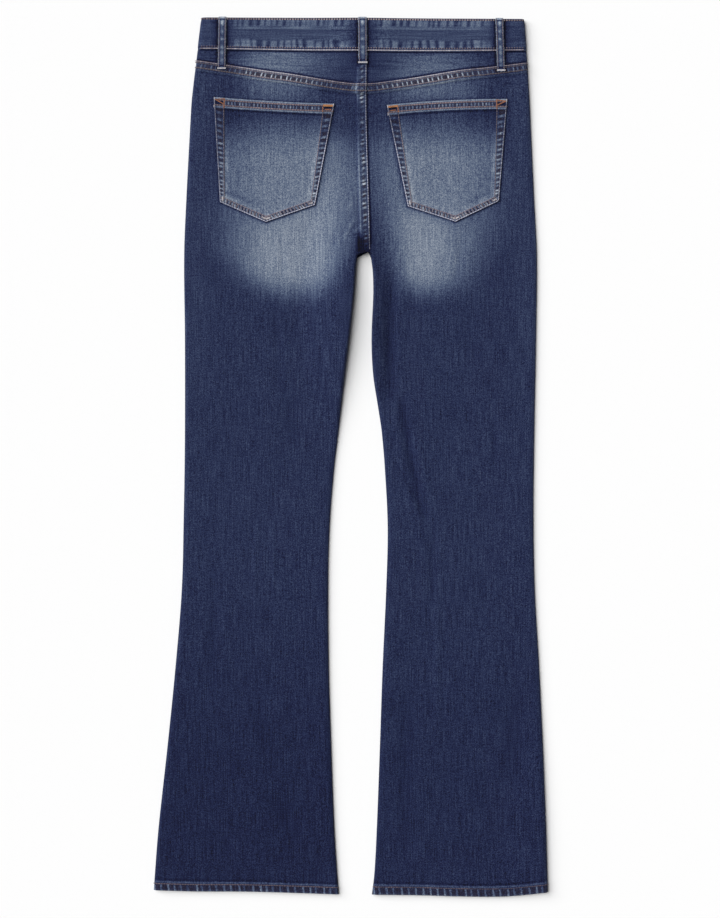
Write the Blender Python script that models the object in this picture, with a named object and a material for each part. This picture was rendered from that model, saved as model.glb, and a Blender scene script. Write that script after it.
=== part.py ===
"""Bootcut jeans laid flat on their front, back side up.

The waist points to +Y, the garment's own left is at -X, and the front panels lie on z = 0.
Each leg is a flattened tube: a front and a back panel, each a wall of denim whose long edges
curl to half height and meet along the side seam and the inside leg.
"""

import math

import bmesh
import bpy

MM = 0.001

# Cloth, in millimetres
DENIM = 1.2
BAND_WALL = 2.2
LOOP_WALL = 1.4
SEAM_GAP = 0.3

# How the garment lies: the outer height of the flattened tube, and the width of its curled edge
FLAT_HEIGHT = 6.3
EDGE_CURL = 7.0
CURL_ANGLES = (0, 30, 60, 90)

# The waist end lies higher, over the loops and the button beneath it
LIFT_START_Y = 400.0
LIFT_END_Y = 500.0
FRONT_LIFT = 2.5
BACK_LIFT = 1.4
FLY_FRONT_LIFT = 1.4
FLY_BACK_LIFT = 3.0
FLY_REACH = 46.0

# Waist
WAIST_LEFT = (-189.8, 558.0)
WAIST_RIGHT = (220.0, 556.0)
BAND_DEPTH = 41.2
BAND_SAG = 1.9  # how much deeper the band is in its middle
BAND_SAG_X = 25.0
BAND_SAG_REACH = 195.0
FRONT_DIP = 22.0
BAND_PROUD = 0.5  # how far the thicker waistband stands out past the panels
BAND_LAP = 18.0  # how far each end runs past the centre seam
BAND_RAMP = 30.0  # length over which the under end climbs onto the other

# The centre seam, from the waist down to the fork of the legs
CENTRE_SEAM = (
    # y, x
    (558.0, 14.4),
    (490.0, 13.7),
    (445.0, 13.5),
    (396.0, 14.5),
    (345.0, 16.0),
    (305.0, 17.1),
    (262.0, 18.4),
)
FLY_X = 14.6

# Back yoke: its seam climbs from the centre seam to the side seams
YOKE_SEAM = (
    # x, y
    (232.0, 495.8),
    (202.0, 491.9),
    (171.0, 488.3),
    (141.0, 485.4),
    (121.0, 482.3),
    (80.0, 475.3),
    (50.0, 471.0),
    (29.0, 468.2),
    (14.0, 467.4),
    (-6.0, 468.8),
    (-37.0, 473.4),
    (-77.0, 480.2),
    (-108.0, 484.3),
    (-149.0, 490.4),
    (-189.0, 496.4),
    (-212.0, 499.8),
)

# Where the cloth on top stands higher: round the fork and along the wearer's right side by the hem
SWELLS = (
    # x, y, reach_x, reach_y, height
    (-4.0, 185.0, 66.0, 190.0, 14.0),
    (242.0, -520.0, 60.0, 240.0, 3.0),
)

# Side seam of each leg: y, then x of the left leg and of the right leg
SIDE_SEAM = (
    # y, left_x, right_x
    (558.0, -189.8, 220.0),
    (515.0, -195.1, 223.0),
    (458.0, -202.0, 226.5),
    (440.0, -203.4, 227.6),
    (330.0, -209.3, 232.6),
    (255.0, -212.2, 236.2),
    (150.0, -211.2, 235.2),
    (20.0, -211.3, 232.8),
    (-80.0, -212.8, 231.9),
    (-170.0, -215.3, 233.6),
    (-270.0, -223.5, 239.3),
    (-370.0, -233.6, 244.1),
    (-470.0, -244.6, 247.9),
    (-530.0, -249.4, 249.6),
    (-558.0, -251.2, 250.6),
)

# Inside leg below the fork: y, then x of the left leg and of the right leg
INSIDE_LEG = (
    # y, left_x, right_x
    (262.0, 18.1, 18.7),
    (260.0, 16.2, 22.6),
    (258.0, 12.2, 24.2),
    (256.0, 8.8, 24.8),
    (250.0, 7.4, 25.8),
    (235.0, 6.4, 27.6),
    (208.0, 4.6, 28.2),
    (150.0, -1.6, 26.0),
    (105.0, -7.2, 28.0),
    (66.0, -12.0, 33.9),
    (33.0, -15.9, 38.9),
    (-20.0, -22.2, 43.3),
    (-90.0, -27.4, 46.6),
    (-165.0, -29.2, 44.8),
    (-270.0, -28.3, 40.0),
    (-370.0, -25.2, 36.6),
    (-470.0, -21.4, 32.8),
    (-530.0, -17.6, 29.6),
    (-558.0, -15.2, 26.2),
)
FORK_Y = 262.0
CURL_BLEND = 30.0  # length over which the inside edge turns from a flat seam to a curled one

# Hem: share of the way from the side seam to the inside leg, then y of each leg's bottom edge
HEM_EDGE = (
    # share, left_y, right_y
    (1.00, -555.6, -555.9),
    (0.75, -553.5, -556.5),
    (0.50, -551.9, -558.0),
    (0.25, -551.7, -558.0),
    (0.00, -550.2, -552.6),
)
HEM_Y = -552.0

# Rows of the leg panels from the hem up, as nominal heights
LEG_ROWS = (
    -554.0, -535.0, -500.0, -430.0, -350.0, -270.0, -190.0, -110.0, -40.0, 20.0, 75.0, 125.0,
    160.0, 195.0, 225.0, 244.0, 252.0, 256.0, 258.0, 260.0, 262.3, 280.0, 305.0, 335.0,
)
BACK_TOP_ROWS = (385.0, 430.0, 475.0)
FRONT_TOP_ROWS = (385.0, 415.0, 435.0, 455.0, 475.0, 495.0)
BACK_COLUMNS = 8
FRONT_COLUMNS = 11
YOKE_COLUMNS = 12
FACING_COLUMNS = 6
POCKET_COLUMNS = 8
POCKET_SHARES = (0.0, 0.35, 0.65, 0.85, 1.0)  # rows of a pocket, from its low corners to its top
BAND_STEPS = 24
BAND_FOLD_ANGLES = (60, 30, 0, -30, -60)
LEG_REACHES = (150.0, 60.0)  # how far from the top seam and the hem the rows follow their slope
YOKE_ROWS = (484.0, 496.0, 506.0, 515.0)
YOKE_REACHES = (31.0, 31.0)

# Front pocket mouth: a scoop from the waistband down to the side seam
SCOOP_WIDTH = 88.0
SCOOP_DEPTH = 74.0
SCOOP_POWER = 0.62
FACING_LAP = 22.0
FACING_ROWS = (443.0, 458.0, 473.0, 488.0, 502.0, 515.0)
FACING_REACHES = (72.0, 72.0)

# Back pockets: the five corners, from the top outer corner round by the point
BACK_POCKETS = {
    # top_left, top_right, low_left, low_right, tip
    "left": ((-174.4, 457.0), (-21.0, 448.4), (-166.6, 323.6), (-45.6, 320.0), (-108.0, 298.2)),
    "right": ((45.2, 446.8), (198.6, 454.4), (72.0, 318.2), (187.9, 324.9), (132.7, 298.6)),
}
POCKET_TIP_WIDTH = 5.0

# Belt loops: side of the garment, x at the top, x at the lower end, y of the lower end
BELT_LOOPS = {
    "belt_loop_back_left": ("back", -163.0, -164.2, 491.5),
    "belt_loop_back_centre": ("back", 14.5, 15.0, 498.5),
    "belt_loop_back_right": ("back", 188.0, 190.5, 489.0),
    "belt_loop_front_left": ("front", -98.0, -98.4, 488.0),
    "belt_loop_front_right": ("front", 128.0, 128.4, 488.0),
}
LOOP_WIDTH = 10.4
LOOP_SHORT = 1.0  # how far a loop stops below the waistband's top edge
LOOP_STEP = 6.0  # length over which a loop comes down off the waistband

# Fly
FLY_TOP = 492.0
FLY_FOOT = 345.0
ZIP_EDGES = (-13.0, 13.0)  # left and right edges from the centre seam
SHIELD_EDGES = (-14.0, 28.0)
FLY_ROWS = 8
BUTTON_Y = 515.0
BUTTON_PROFILE = ((0.0, 0.6), (4.0, 0.4), (7.2, 0.9), (8.6, 1.7), (8.6, 2.3), (7.6, 3.0), (0.0, 3.1))
BUTTON_SIDES = 24

DENIM_FINISHES = {
    # name: colour, roughness, metallic
    "denim_leg": ((0.030, 0.040, 0.085), 0.85, 0.0),
    "denim_front": ((0.045, 0.060, 0.115), 0.85, 0.0),
    "denim_yoke": ((0.085, 0.115, 0.190), 0.85, 0.0),
    "denim_pocket": ((0.110, 0.140, 0.215), 0.85, 0.0),
    "denim_band": ((0.060, 0.075, 0.130), 0.85, 0.0),
    "zip_tape": ((0.030, 0.035, 0.060), 0.80, 0.0),
    "button_brass": ((0.420, 0.260, 0.130), 0.35, 1.0),
}


def smooth(t):
    """0 to 1 with level ends."""
    t = min(max(t, 0.0), 1.0)
    return t * t * (3.0 - 2.0 * t)


def read(table, column, y):
    """Read a table whose first column is y, falling, by a smooth curve through its rows."""
    rows = list(table)
    if y >= rows[0][0]:
        return rows[0][column]
    if y <= rows[-1][0]:
        return rows[-1][column]
    i = next(k for k in range(len(rows) - 1) if rows[k + 1][0] <= y)

    def slope(k):
        low, high = max(k - 1, 0), min(k + 1, len(rows) - 1)
        return (rows[high][column] - rows[low][column]) / (rows[high][0] - rows[low][0])

    (y0, v0), (y1, v1) = (rows[i][0], rows[i][column]), (rows[i + 1][0], rows[i + 1][column])
    span = y1 - y0
    t = (y - y0) / span
    t2, t3 = t * t, t * t * t
    return (
        (2 * t3 - 3 * t2 + 1) * v0
        + (t3 - 2 * t2 + t) * span * slope(i)
        + (3 * t2 - 2 * t3) * v1
        + (t3 - t2) * span * slope(i + 1)
    )


def centre_x(y):
    """The centre seam, which bows a little across the seat."""
    return read(CENTRE_SEAM, 1, y)


def fly_bump(x):
    return math.exp(-(((x - FLY_X) / FLY_REACH) ** 2))


def front_base(x, y):
    """Height of the front panels' outer face, which is the lower one."""
    return smooth((y - LIFT_START_Y) / (LIFT_END_Y - LIFT_START_Y)) * (
        FRONT_LIFT + FLY_FRONT_LIFT * fly_bump(x)
    )


def swell(x, y):
    """Extra height of the cloth on top."""
    height = 0.0
    for x0, y0, reach_x, reach_y, rise in SWELLS:
        height += rise * smooth(1.0 - math.hypot((x - x0) / reach_x, (y - y0) / reach_y))
    return height


def back_top(x, y):
    """Height of the back panels' outer face, which is the upper one."""
    return FLAT_HEIGHT + swell(x, y) + smooth((y - LIFT_START_Y) / (LIFT_END_Y - LIFT_START_Y)) * (
        BACK_LIFT + FLY_BACK_LIFT * fly_bump(x)
    )


def waist_y(x):
    """Top edge of the waistband's back."""
    t = (x - WAIST_LEFT[0]) / (WAIST_RIGHT[0] - WAIST_LEFT[0])
    return WAIST_LEFT[1] + (WAIST_RIGHT[1] - WAIST_LEFT[1]) * t


def front_dip(x):
    """How much lower the waist runs across the front."""
    middle = (WAIST_LEFT[0] + WAIST_RIGHT[0]) / 2
    half = (WAIST_RIGHT[0] - WAIST_LEFT[0]) / 2
    return FRONT_DIP * smooth(1.0 - abs(x - middle) / half)


def band_seam_y(x, side="back"):
    """Lower edge of the waistband."""
    sag = BAND_SAG * max(1.0 - ((x - BAND_SAG_X) / BAND_SAG_REACH) ** 2, 0.0)
    return waist_y(x) - BAND_DEPTH - sag - (front_dip(x) if side == "front" else 0.0)


def yoke_seam_y(x):
    return read(YOKE_SEAM, 1, x)


def hem_y(leg, x):
    low, high = side_x(leg, HEM_Y), inside_x(leg, HEM_Y)
    return read(HEM_EDGE, 1 if leg == "left" else 2, (x - low) / (high - low))


def side_x(leg, y):
    return read(SIDE_SEAM, 1 if leg == "left" else 2, y)


def inside_x(leg, y):
    """Inner edge of a half: the centre seam above the fork, the inside leg below it."""
    toward = -1 if leg == "left" else 1
    if y >= FORK_Y:
        return centre_x(y) + toward * SEAM_GAP / 2
    return read(INSIDE_LEG, 1 if leg == "left" else 2, y)


def inside_curl(y):
    """1 where the inside edge is curled down to meet the other panel, 0 along the centre seam."""
    return smooth((FORK_Y - y) / CURL_BLEND)


def scoop_y(leg, x):
    """Top edge of a front panel: the waistband seam, then the pocket's scoop to the side seam."""
    seam = band_seam_y(x, "front")
    edge = side_x(leg, seam)
    away = abs(x - edge)
    if away >= SCOOP_WIDTH:
        return seam
    return seam - SCOOP_DEPTH * (1.0 - away / SCOOP_WIDTH) ** SCOOP_POWER


def make_material(name):
    colour, roughness, metallic = DENIM_FINISHES[name]
    material = bpy.data.materials.new(name)
    material.use_nodes = True
    shader = material.node_tree.nodes["Principled BSDF"]
    shader.inputs["Base Color"].default_value = (*colour, 1.0)
    shader.inputs["Roughness"].default_value = roughness
    shader.inputs["Metallic"].default_value = metallic
    return material


def add_piece(name, points, faces, material):
    """One closed object from points in millimetres, its faces turned outwards."""
    mesh = bpy.data.meshes.new(name)
    mesh.from_pydata([(x * MM, y * MM, z * MM) for x, y, z in points], [], faces)
    shape = bmesh.new()
    shape.from_mesh(mesh)
    bmesh.ops.recalc_face_normals(shape, faces=shape.faces)
    if shape.calc_volume(signed=True) < 0:
        bmesh.ops.reverse_faces(shape, faces=shape.faces)
    shape.to_mesh(mesh)
    shape.free()
    mesh.shade_smooth()
    mesh.set_sharp_from_angle(angle=math.radians(40))
    mesh.materials.append(bpy.data.materials.get(material) or make_material(material))
    piece = bpy.data.objects.new(name, mesh)
    bpy.context.scene.collection.objects.link(piece)
    return piece


def wall_piece(name, outer, inner, material):
    """A wall between two equal grids of points, closed round its rim."""
    rows, columns = len(outer), len(outer[0])
    points = [point for grid in (outer, inner) for row in grid for point in row]

    def at(layer, j, i):
        return (layer * rows + j) * columns + i

    faces = []
    for j in range(rows - 1):
        for i in range(columns - 1):
            faces.append((at(0, j, i), at(0, j, i + 1), at(0, j + 1, i + 1), at(0, j + 1, i)))
            faces.append((at(1, j, i), at(1, j + 1, i), at(1, j + 1, i + 1), at(1, j, i + 1)))
    for j in range(rows - 1):
        for i in (0, columns - 1):
            faces.append((at(0, j, i), at(0, j + 1, i), at(1, j + 1, i), at(1, j, i)))
    for i in range(columns - 1):
        for j in (0, rows - 1):
            faces.append((at(0, j, i), at(1, j, i), at(1, j, i + 1), at(0, j, i + 1)))
    return add_piece(name, points, faces, material)


def column_places(flat_columns):
    """Places across a panel: (share of the flat width or None, curl angle, which edge)."""
    places = [(0.0, angle, "side") for angle in CURL_ANGLES]
    places += [(k / (flat_columns + 1), 90, "flat") for k in range(1, flat_columns + 1)]
    places += [(1.0, angle, "inside") for angle in reversed(CURL_ANGLES)]
    return places


def panel_point(leg, face, y, place, x_edges, sink=0.0):
    """A pair of points, on the outer and the inner face of a panel, for one place across it."""
    share, angle, edge = place
    x_side, x_inside = x_edges
    inward = 1 if leg == "left" else -1
    curl = {"side": 1.0, "inside": inside_curl(y), "flat": 0.0}[edge]
    turn = math.radians(angle)
    inset = EDGE_CURL * (1 - math.cos(turn))
    inner_inset = inset + curl * DENIM * math.cos(turn)
    low, high = x_side + inward * EDGE_CURL, x_inside - inward * EDGE_CURL
    if edge == "side":
        x_outer, x_inner = x_side + inward * inset, x_side + inward * inner_inset
    elif edge == "inside":
        x_outer, x_inner = x_inside - inward * inset, x_inside - inward * inner_inset
    else:
        x_outer = x_inner = low + (high - low) * share
    base, top = front_base(x_outer, y), back_top(x_outer, y)
    half = (top - base - SEAM_GAP) / 2
    base += sink
    drop = curl * (half - sink) * (1 - math.sin(turn))
    wall = DENIM * (1 - curl * (1 - math.sin(turn)))
    if face == "back":
        return (x_outer, y, top - drop), (x_inner, y, top - drop - wall)
    return (x_outer, y, base + drop), (x_inner, y, base + drop + wall)


def half_edges(leg, y):
    return side_x(leg, y), inside_x(leg, y)


def facing_edges(leg, y):
    inward = 1 if leg == "left" else -1
    return side_x(leg, y), side_x(leg, y) + inward * (SCOOP_WIDTH + FACING_LAP)


def panel(name, leg, face, layout, bottom, top, material, edges=half_edges, sink=0.0):
    """A garment panel between two seams, given as functions of x, on nominal rows."""
    rows, flat_columns, (top_reach, low_reach) = layout
    outer, inner = [], []
    for y_row in rows:
        follow_top = smooth(1 - (rows[-1] - y_row) / top_reach)
        follow_low = smooth(1 - (y_row - rows[0]) / low_reach)
        pairs = []
        for place in column_places(flat_columns):
            y = y_row
            for _ in range(3):
                x = panel_point(leg, face, y, place, edges(leg, y), sink)[0][0]
                y = y_row + (top(x) - rows[-1]) * follow_top + (bottom(x) - rows[0]) * follow_low
            pairs.append(panel_point(leg, face, y, place, edges(leg, y), sink))
        outer.append([pair[0] for pair in pairs])
        inner.append([pair[1] for pair in pairs])
    return wall_piece(name, outer, inner, material)


def sheet_piece(name, rows, columns, lower, wall, material):
    """A flat piece from pairs of end points, laid on a surface: lower(x, y) is its lower face."""
    below, above = [], []
    for (x0, y0), (x1, y1) in rows:
        low_row, high_row = [], []
        for i in range(columns + 1):
            t = i / columns
            x, y = x0 + (x1 - x0) * t, y0 + (y1 - y0) * t
            z = lower(x, y)
            low_row.append((x, y, z))
            high_row.append((x, y, z + wall))
        below.append(low_row)
        above.append(high_row)
    return wall_piece(name, above, below, material)


def make_back_panels():
    for leg in ("left", "right"):
        panel(
            f"back_{leg}", leg, "back", (LEG_ROWS + BACK_TOP_ROWS, BACK_COLUMNS, LEG_REACHES),
            lambda x, leg=leg: hem_y(leg, x),
            lambda x: yoke_seam_y(x) - SEAM_GAP / 2,
            "denim_leg",
        )


def make_front_panels():
    for leg in ("left", "right"):
        panel(
            f"front_{leg}", leg, "front", (LEG_ROWS + FRONT_TOP_ROWS, FRONT_COLUMNS, LEG_REACHES),
            lambda x, leg=leg: hem_y(leg, x),
            lambda x, leg=leg: scoop_y(leg, x) - SEAM_GAP / 2,
            "denim_front",
        )


def make_yokes():
    for leg in ("left", "right"):
        panel(
            f"yoke_{leg}", leg, "back", (YOKE_ROWS, YOKE_COLUMNS, YOKE_REACHES),
            lambda x: yoke_seam_y(x) + SEAM_GAP / 2,
            lambda x: band_seam_y(x) - SEAM_GAP / 2,
            "denim_yoke",
        )


def facing_foot_y(leg, x):
    """Lower edge of a pocket facing: the scoop's own edge at the side seam, then behind the front."""
    away = abs(x - side_x(leg, FACING_ROWS[0]))
    if away <= EDGE_CURL:
        return scoop_y(leg, x) + 2 * SEAM_GAP
    inward = 1 if leg == "left" else -1
    corner = scoop_y(leg, x - inward * (away - EDGE_CURL)) + SEAM_GAP
    return corner - FACING_LAP * smooth((away - EDGE_CURL) / FACING_LAP)


def make_pocket_facings():
    for leg in ("left", "right"):
        panel(
            f"pocket_facing_{leg}", leg, "front", (FACING_ROWS, FACING_COLUMNS, FACING_REACHES),
            lambda x, leg=leg: facing_foot_y(leg, x),
            lambda x: band_seam_y(x, "front") - SEAM_GAP / 2,
            "denim_leg", facing_edges, DENIM + SEAM_GAP,
        )


def make_back_pockets():
    for leg, (top_left, top_right, low_left, low_right, tip) in BACK_POCKETS.items():
        half_tip = POCKET_TIP_WIDTH / 2
        rows = [((tip[0] - half_tip, tip[1]), (tip[0] + half_tip, tip[1]))]
        for t in POCKET_SHARES:
            ends = []
            for low, high in ((low_left, top_left), (low_right, top_right)):
                ends.append((low[0] + (high[0] - low[0]) * t, low[1] + (high[1] - low[1]) * t))
            rows.append(tuple(ends))
        sheet_piece(
            f"back_pocket_{leg}", rows, POCKET_COLUMNS, lambda x, y: back_top(x, y) + SEAM_GAP,
            DENIM, "denim_pocket",
        )


def band_places():
    """Places round the waistband from its under end: (run, x from the left edge 0 to 1, angle)."""
    flat = [k / BAND_STEPS for k in range(BAND_STEPS + 1)]
    places = [("front_under", share, 90) for share in flat]
    places += [("right_fold", 1.0, angle) for angle in BAND_FOLD_ANGLES]
    places += [("back", 1.0 - share, 90) for share in flat]
    places += [("left_fold", 0.0, angle) for angle in reversed(BAND_FOLD_ANGLES)]
    places += [("front_over", share, 90) for share in flat]
    return places


def band_section(place):
    """The four corners of the waistband at one place: outer low, outer high, inner high, inner low."""
    run, share, angle = place
    corners = []
    for level in ("low", "high"):
        y_guess = waist_y(0.0) - (BAND_DEPTH if level == "low" else 0.0)
        left, right = side_x("left", y_guess), side_x("right", y_guess)
        flat_left, flat_right = left + EDGE_CURL, right - EDGE_CURL
        centre = centre_x(y_guess)
        turn = math.radians(angle)
        if run == "front_under":
            x = centre - BAND_LAP + (flat_right - centre + BAND_LAP) * share
        elif run == "front_over":
            x = flat_left + (centre + BAND_LAP - flat_left) * share
        elif run == "back":
            x = flat_left + (flat_right - flat_left) * share
        elif run == "right_fold":
            x = flat_right
        else:
            x = flat_left
        bottom = front_base(x, y_guess) - BAND_PROUD
        top = back_top(x, y_guess) + BAND_PROUD
        middle, half = (bottom + top) / 2, (top - bottom) / 2
        side = "front" if run.startswith("front") else "back"
        y = band_seam_y(x, side) + SEAM_GAP / 2
        if level == "high":
            y = waist_y(x) - (front_dip(x) if side == "front" else 0.0)
        if run.endswith("fold"):
            outward = 1 if run == "right_fold" else -1
            reach, rise = math.cos(turn), -math.sin(turn)
            outer = (x + outward * EDGE_CURL * reach, y, middle + half * rise)
            inner_half = half - BAND_WALL
            inner = (x + outward * (EDGE_CURL - BAND_WALL) * reach, y, middle + inner_half * rise)
        elif run == "back":
            outer, inner = (x, y, top), (x, y, top - BAND_WALL)
        else:
            climb = 0.0
            if run == "front_under":
                climb = smooth((centre + BAND_LAP + 2.0 + BAND_RAMP - x) / BAND_RAMP)
            bottom += climb * (BAND_WALL + SEAM_GAP)
            outer, inner = (x, y, bottom), (x, y, bottom + BAND_WALL)
        corners.append((outer, inner))
    (outer_low, inner_low), (outer_high, inner_high) = corners
    return outer_low, outer_high, inner_high, inner_low


def make_waistband():
    sections = [band_section(place) for place in band_places()]
    points = [corner for section in sections for corner in section]
    faces = [(0, 1, 2, 3), tuple(len(points) - 4 + k for k in (3, 2, 1, 0))]
    for j in range(len(sections) - 1):
        for k in range(4):
            a, b = 4 * j + k, 4 * j + (k + 1) % 4
            faces.append((a, a + 4, b + 4, b))
    add_piece("waistband", points, faces, "denim_band")


def loop_surface(side, x, y):
    """Outer face of what a belt loop crosses: the waistband, then the panel below it."""
    on_band = smooth((y - band_seam_y(x, side) + LOOP_STEP) / LOOP_STEP)
    if side == "back":
        return back_top(x, y) + BAND_PROUD * on_band
    return front_base(x, y) - BAND_PROUD * on_band


def make_belt_loops():
    for name, (side, x_top, x_low, y_low) in BELT_LOOPS.items():
        y_top = waist_y(x_top) - LOOP_SHORT - (front_dip(x_top) if side == "front" else 0.0)
        seam = band_seam_y(x_top, side)
        rows = []
        for y in (y_low, seam - LOOP_STEP, seam - LOOP_STEP / 2, seam, seam + LOOP_STEP, y_top):
            x = x_low + (x_top - x_low) * (y - y_low) / (y_top - y_low)
            rows.append(((x - LOOP_WIDTH / 2, y), (x + LOOP_WIDTH / 2, y)))
        away = SEAM_GAP if side == "back" else -SEAM_GAP - LOOP_WALL
        sheet_piece(
            name, rows, 2, lambda x, y, side=side, away=away: loop_surface(side, x, y) + away,
            LOOP_WALL, "denim_band",
        )


def make_fly():
    for name, (left, right), height, material in (
        ("zip", ZIP_EDGES, DENIM + SEAM_GAP, "zip_tape"),
        ("fly_shield", SHIELD_EDGES, 2 * (DENIM + SEAM_GAP), "denim_leg"),
    ):
        rows = []
        for k in range(FLY_ROWS + 1):
            y = FLY_FOOT + (FLY_TOP - FLY_FOOT) * k / FLY_ROWS
            rows.append(((centre_x(y) + left, y), (centre_x(y) + right, y)))
        sheet_piece(
            name, rows, 4, lambda x, y, height=height: front_base(x, y) + height, DENIM, material
        )


def make_button():
    """A turned shank button, its domed face down."""
    centre = centre_x(BUTTON_Y)
    rings = BUTTON_PROFILE[1:-1]
    points = [(centre, BUTTON_Y, BUTTON_PROFILE[0][1])]
    for radius, z in rings:
        for k in range(BUTTON_SIDES):
            turn = 2 * math.pi * k / BUTTON_SIDES
            points.append((centre + radius * math.cos(turn), BUTTON_Y + radius * math.sin(turn), z))
    points.append((centre, BUTTON_Y, BUTTON_PROFILE[-1][1]))
    last = len(points) - 1
    faces = []
    for k in range(BUTTON_SIDES):
        after = (k + 1) % BUTTON_SIDES
        faces.append((0, 1 + after, 1 + k))
        for ring in range(len(rings) - 1):
            low, high = 1 + ring * BUTTON_SIDES, 1 + (ring + 1) * BUTTON_SIDES
            faces.append((low + k, low + after, high + after, high + k))
        high = 1 + (len(rings) - 1) * BUTTON_SIDES
        faces.append((high + k, high + after, last))
    add_piece("button", points, faces, "button_brass")


def main():
    for thing in list(bpy.data.objects):
        bpy.data.objects.remove(thing, do_unlink=True)
    make_back_panels()
    make_yokes()
    make_back_pockets()
    make_front_panels()
    make_pocket_facings()
    make_waistband()
    make_belt_loops()
    make_fly()
    make_button()


main()
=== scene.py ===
"""Bootcut jeans laid flat, back side up: denim shells, felled seams, stitching, wash, fly and button.

The waist points to +Y and the wearer's left is at -X. Sizes inside the builders are in millimetres,
and each mesh is written in metres at its place in the shared frame.
"""

import math

import bmesh
import bpy
import numpy as np
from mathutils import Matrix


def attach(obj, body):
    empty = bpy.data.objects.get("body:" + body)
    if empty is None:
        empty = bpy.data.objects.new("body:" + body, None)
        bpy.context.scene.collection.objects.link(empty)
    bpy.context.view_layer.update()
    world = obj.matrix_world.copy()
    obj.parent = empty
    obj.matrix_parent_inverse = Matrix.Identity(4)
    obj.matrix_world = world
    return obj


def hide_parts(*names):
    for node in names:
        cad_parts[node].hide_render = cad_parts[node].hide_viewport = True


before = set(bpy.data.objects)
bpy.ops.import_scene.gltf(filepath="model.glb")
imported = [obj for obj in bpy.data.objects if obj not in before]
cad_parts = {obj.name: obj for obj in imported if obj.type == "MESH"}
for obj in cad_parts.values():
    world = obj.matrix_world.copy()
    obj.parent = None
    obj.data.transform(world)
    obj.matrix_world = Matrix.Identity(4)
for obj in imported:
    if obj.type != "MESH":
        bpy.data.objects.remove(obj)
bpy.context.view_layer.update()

bl_info = {
    "name": "Bootcut Jeans",
    "version": (1, 0, 0),
    "blender": (4, 5, 0),
    "location": "3D View > Sidebar > Jeans",
    "description": "Builds the cloth, stitching and wash of bootcut jeans round their packed frame",
    "category": "Add Mesh",
}

MM = 0.001
LEGS = ("left", "right")

# Cloth and the way the garment lies, as in the frame
DENIM = 1.2
SEAM_GAP = 0.3
FLAT_HEIGHT = 6.3
EDGE_CURL = 7.0
LIFT_START_Y = 400.0
LIFT_END_Y = 500.0
FRONT_LIFT = 2.5
BACK_LIFT = 1.4
FLY_FRONT_LIFT = 1.4
FLY_BACK_LIFT = 3.0
FLY_REACH = 46.0

# Waist
WAIST_LEFT = (-189.8, 558.0)
WAIST_RIGHT = (220.0, 556.0)
BAND_DEPTH = 41.2
BAND_SAG = 1.9
BAND_SAG_X = 25.0
BAND_SAG_REACH = 195.0
FRONT_DIP = 22.0
BAND_WALL = 2.2
BAND_LAP = 18.0
BAND_RAMP = 30.0
BAND_PROUD_BACK = 1.5
BAND_PROUD_FRONT = 0.5
BAND_MIDDLE_Y = 530.0
BAND_ENDS_Y = 520.0

# Centre seam and yoke seam
CENTRE_SEAM = (
    # y, x
    (558.0, 14.4),
    (490.0, 13.7),
    (445.0, 13.5),
    (396.0, 14.5),
    (345.0, 16.0),
    (305.0, 17.1),
    (262.0, 18.4),
)
FLY_X = 14.6
YOKE_SEAM = (
    # x, y
    (232.0, 495.8),
    (202.0, 491.9),
    (171.0, 488.3),
    (141.0, 485.4),
    (121.0, 482.3),
    (80.0, 475.3),
    (50.0, 471.0),
    (29.0, 468.2),
    (14.0, 467.4),
    (-6.0, 468.8),
    (-37.0, 473.4),
    (-77.0, 480.2),
    (-108.0, 484.3),
    (-149.0, 490.4),
    (-189.0, 496.4),
    (-212.0, 499.8),
)
YOKE_POINT_Y = 467.4
FORK_Y = 262.0
CURL_BLEND = 30.0

# Where the cloth on top stands higher: round the fork and along the wearer's right side by the hem
SWELLS = (
    # x, y, reach_x, reach_y, height
    (-4.0, 185.0, 66.0, 190.0, 14.0),
    (242.0, -520.0, 60.0, 240.0, 3.0),
)

SIDE_SEAM = (
    # y, left_x, right_x
    (558.0, -189.8, 220.0),
    (515.0, -195.1, 223.0),
    (458.0, -202.0, 226.5),
    (440.0, -203.4, 227.6),
    (330.0, -209.3, 232.6),
    (255.0, -212.2, 236.2),
    (150.0, -211.2, 235.2),
    (20.0, -211.3, 232.8),
    (-80.0, -212.8, 231.9),
    (-170.0, -215.3, 233.6),
    (-270.0, -223.5, 239.3),
    (-370.0, -233.6, 244.1),
    (-470.0, -244.6, 247.9),
    (-530.0, -249.4, 249.6),
    (-558.0, -251.2, 250.6),
)
INSIDE_LEG = (
    # y, left_x, right_x
    (262.0, 18.1, 18.7),
    (260.0, 16.2, 22.6),
    (258.0, 12.2, 24.2),
    (256.0, 8.8, 24.8),
    (250.0, 7.4, 25.8),
    (235.0, 6.4, 27.6),
    (208.0, 4.6, 28.2),
    (150.0, -1.6, 26.0),
    (105.0, -7.2, 28.0),
    (66.0, -12.0, 33.9),
    (33.0, -15.9, 38.9),
    (-20.0, -22.2, 43.3),
    (-90.0, -27.4, 46.6),
    (-165.0, -29.2, 44.8),
    (-270.0, -28.3, 40.0),
    (-370.0, -25.2, 36.6),
    (-470.0, -21.4, 32.8),
    (-530.0, -17.6, 29.6),
    (-558.0, -15.2, 26.2),
)
HEM_EDGE = (
    # share, left_y, right_y
    (1.00, -555.6, -555.9),
    (0.75, -553.5, -556.5),
    (0.50, -551.9, -558.0),
    (0.25, -551.7, -558.0),
    (0.00, -550.2, -552.6),
)
HEM_Y = -552.0
HEM_ROW_Y = -545.0
HEM_ROW_DROP = 3.6

# Front pocket mouth
SCOOP_WIDTH = 88.0
SCOOP_DEPTH = 74.0
SCOOP_POWER = 0.62
FACING_LAP = 22.0

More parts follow.
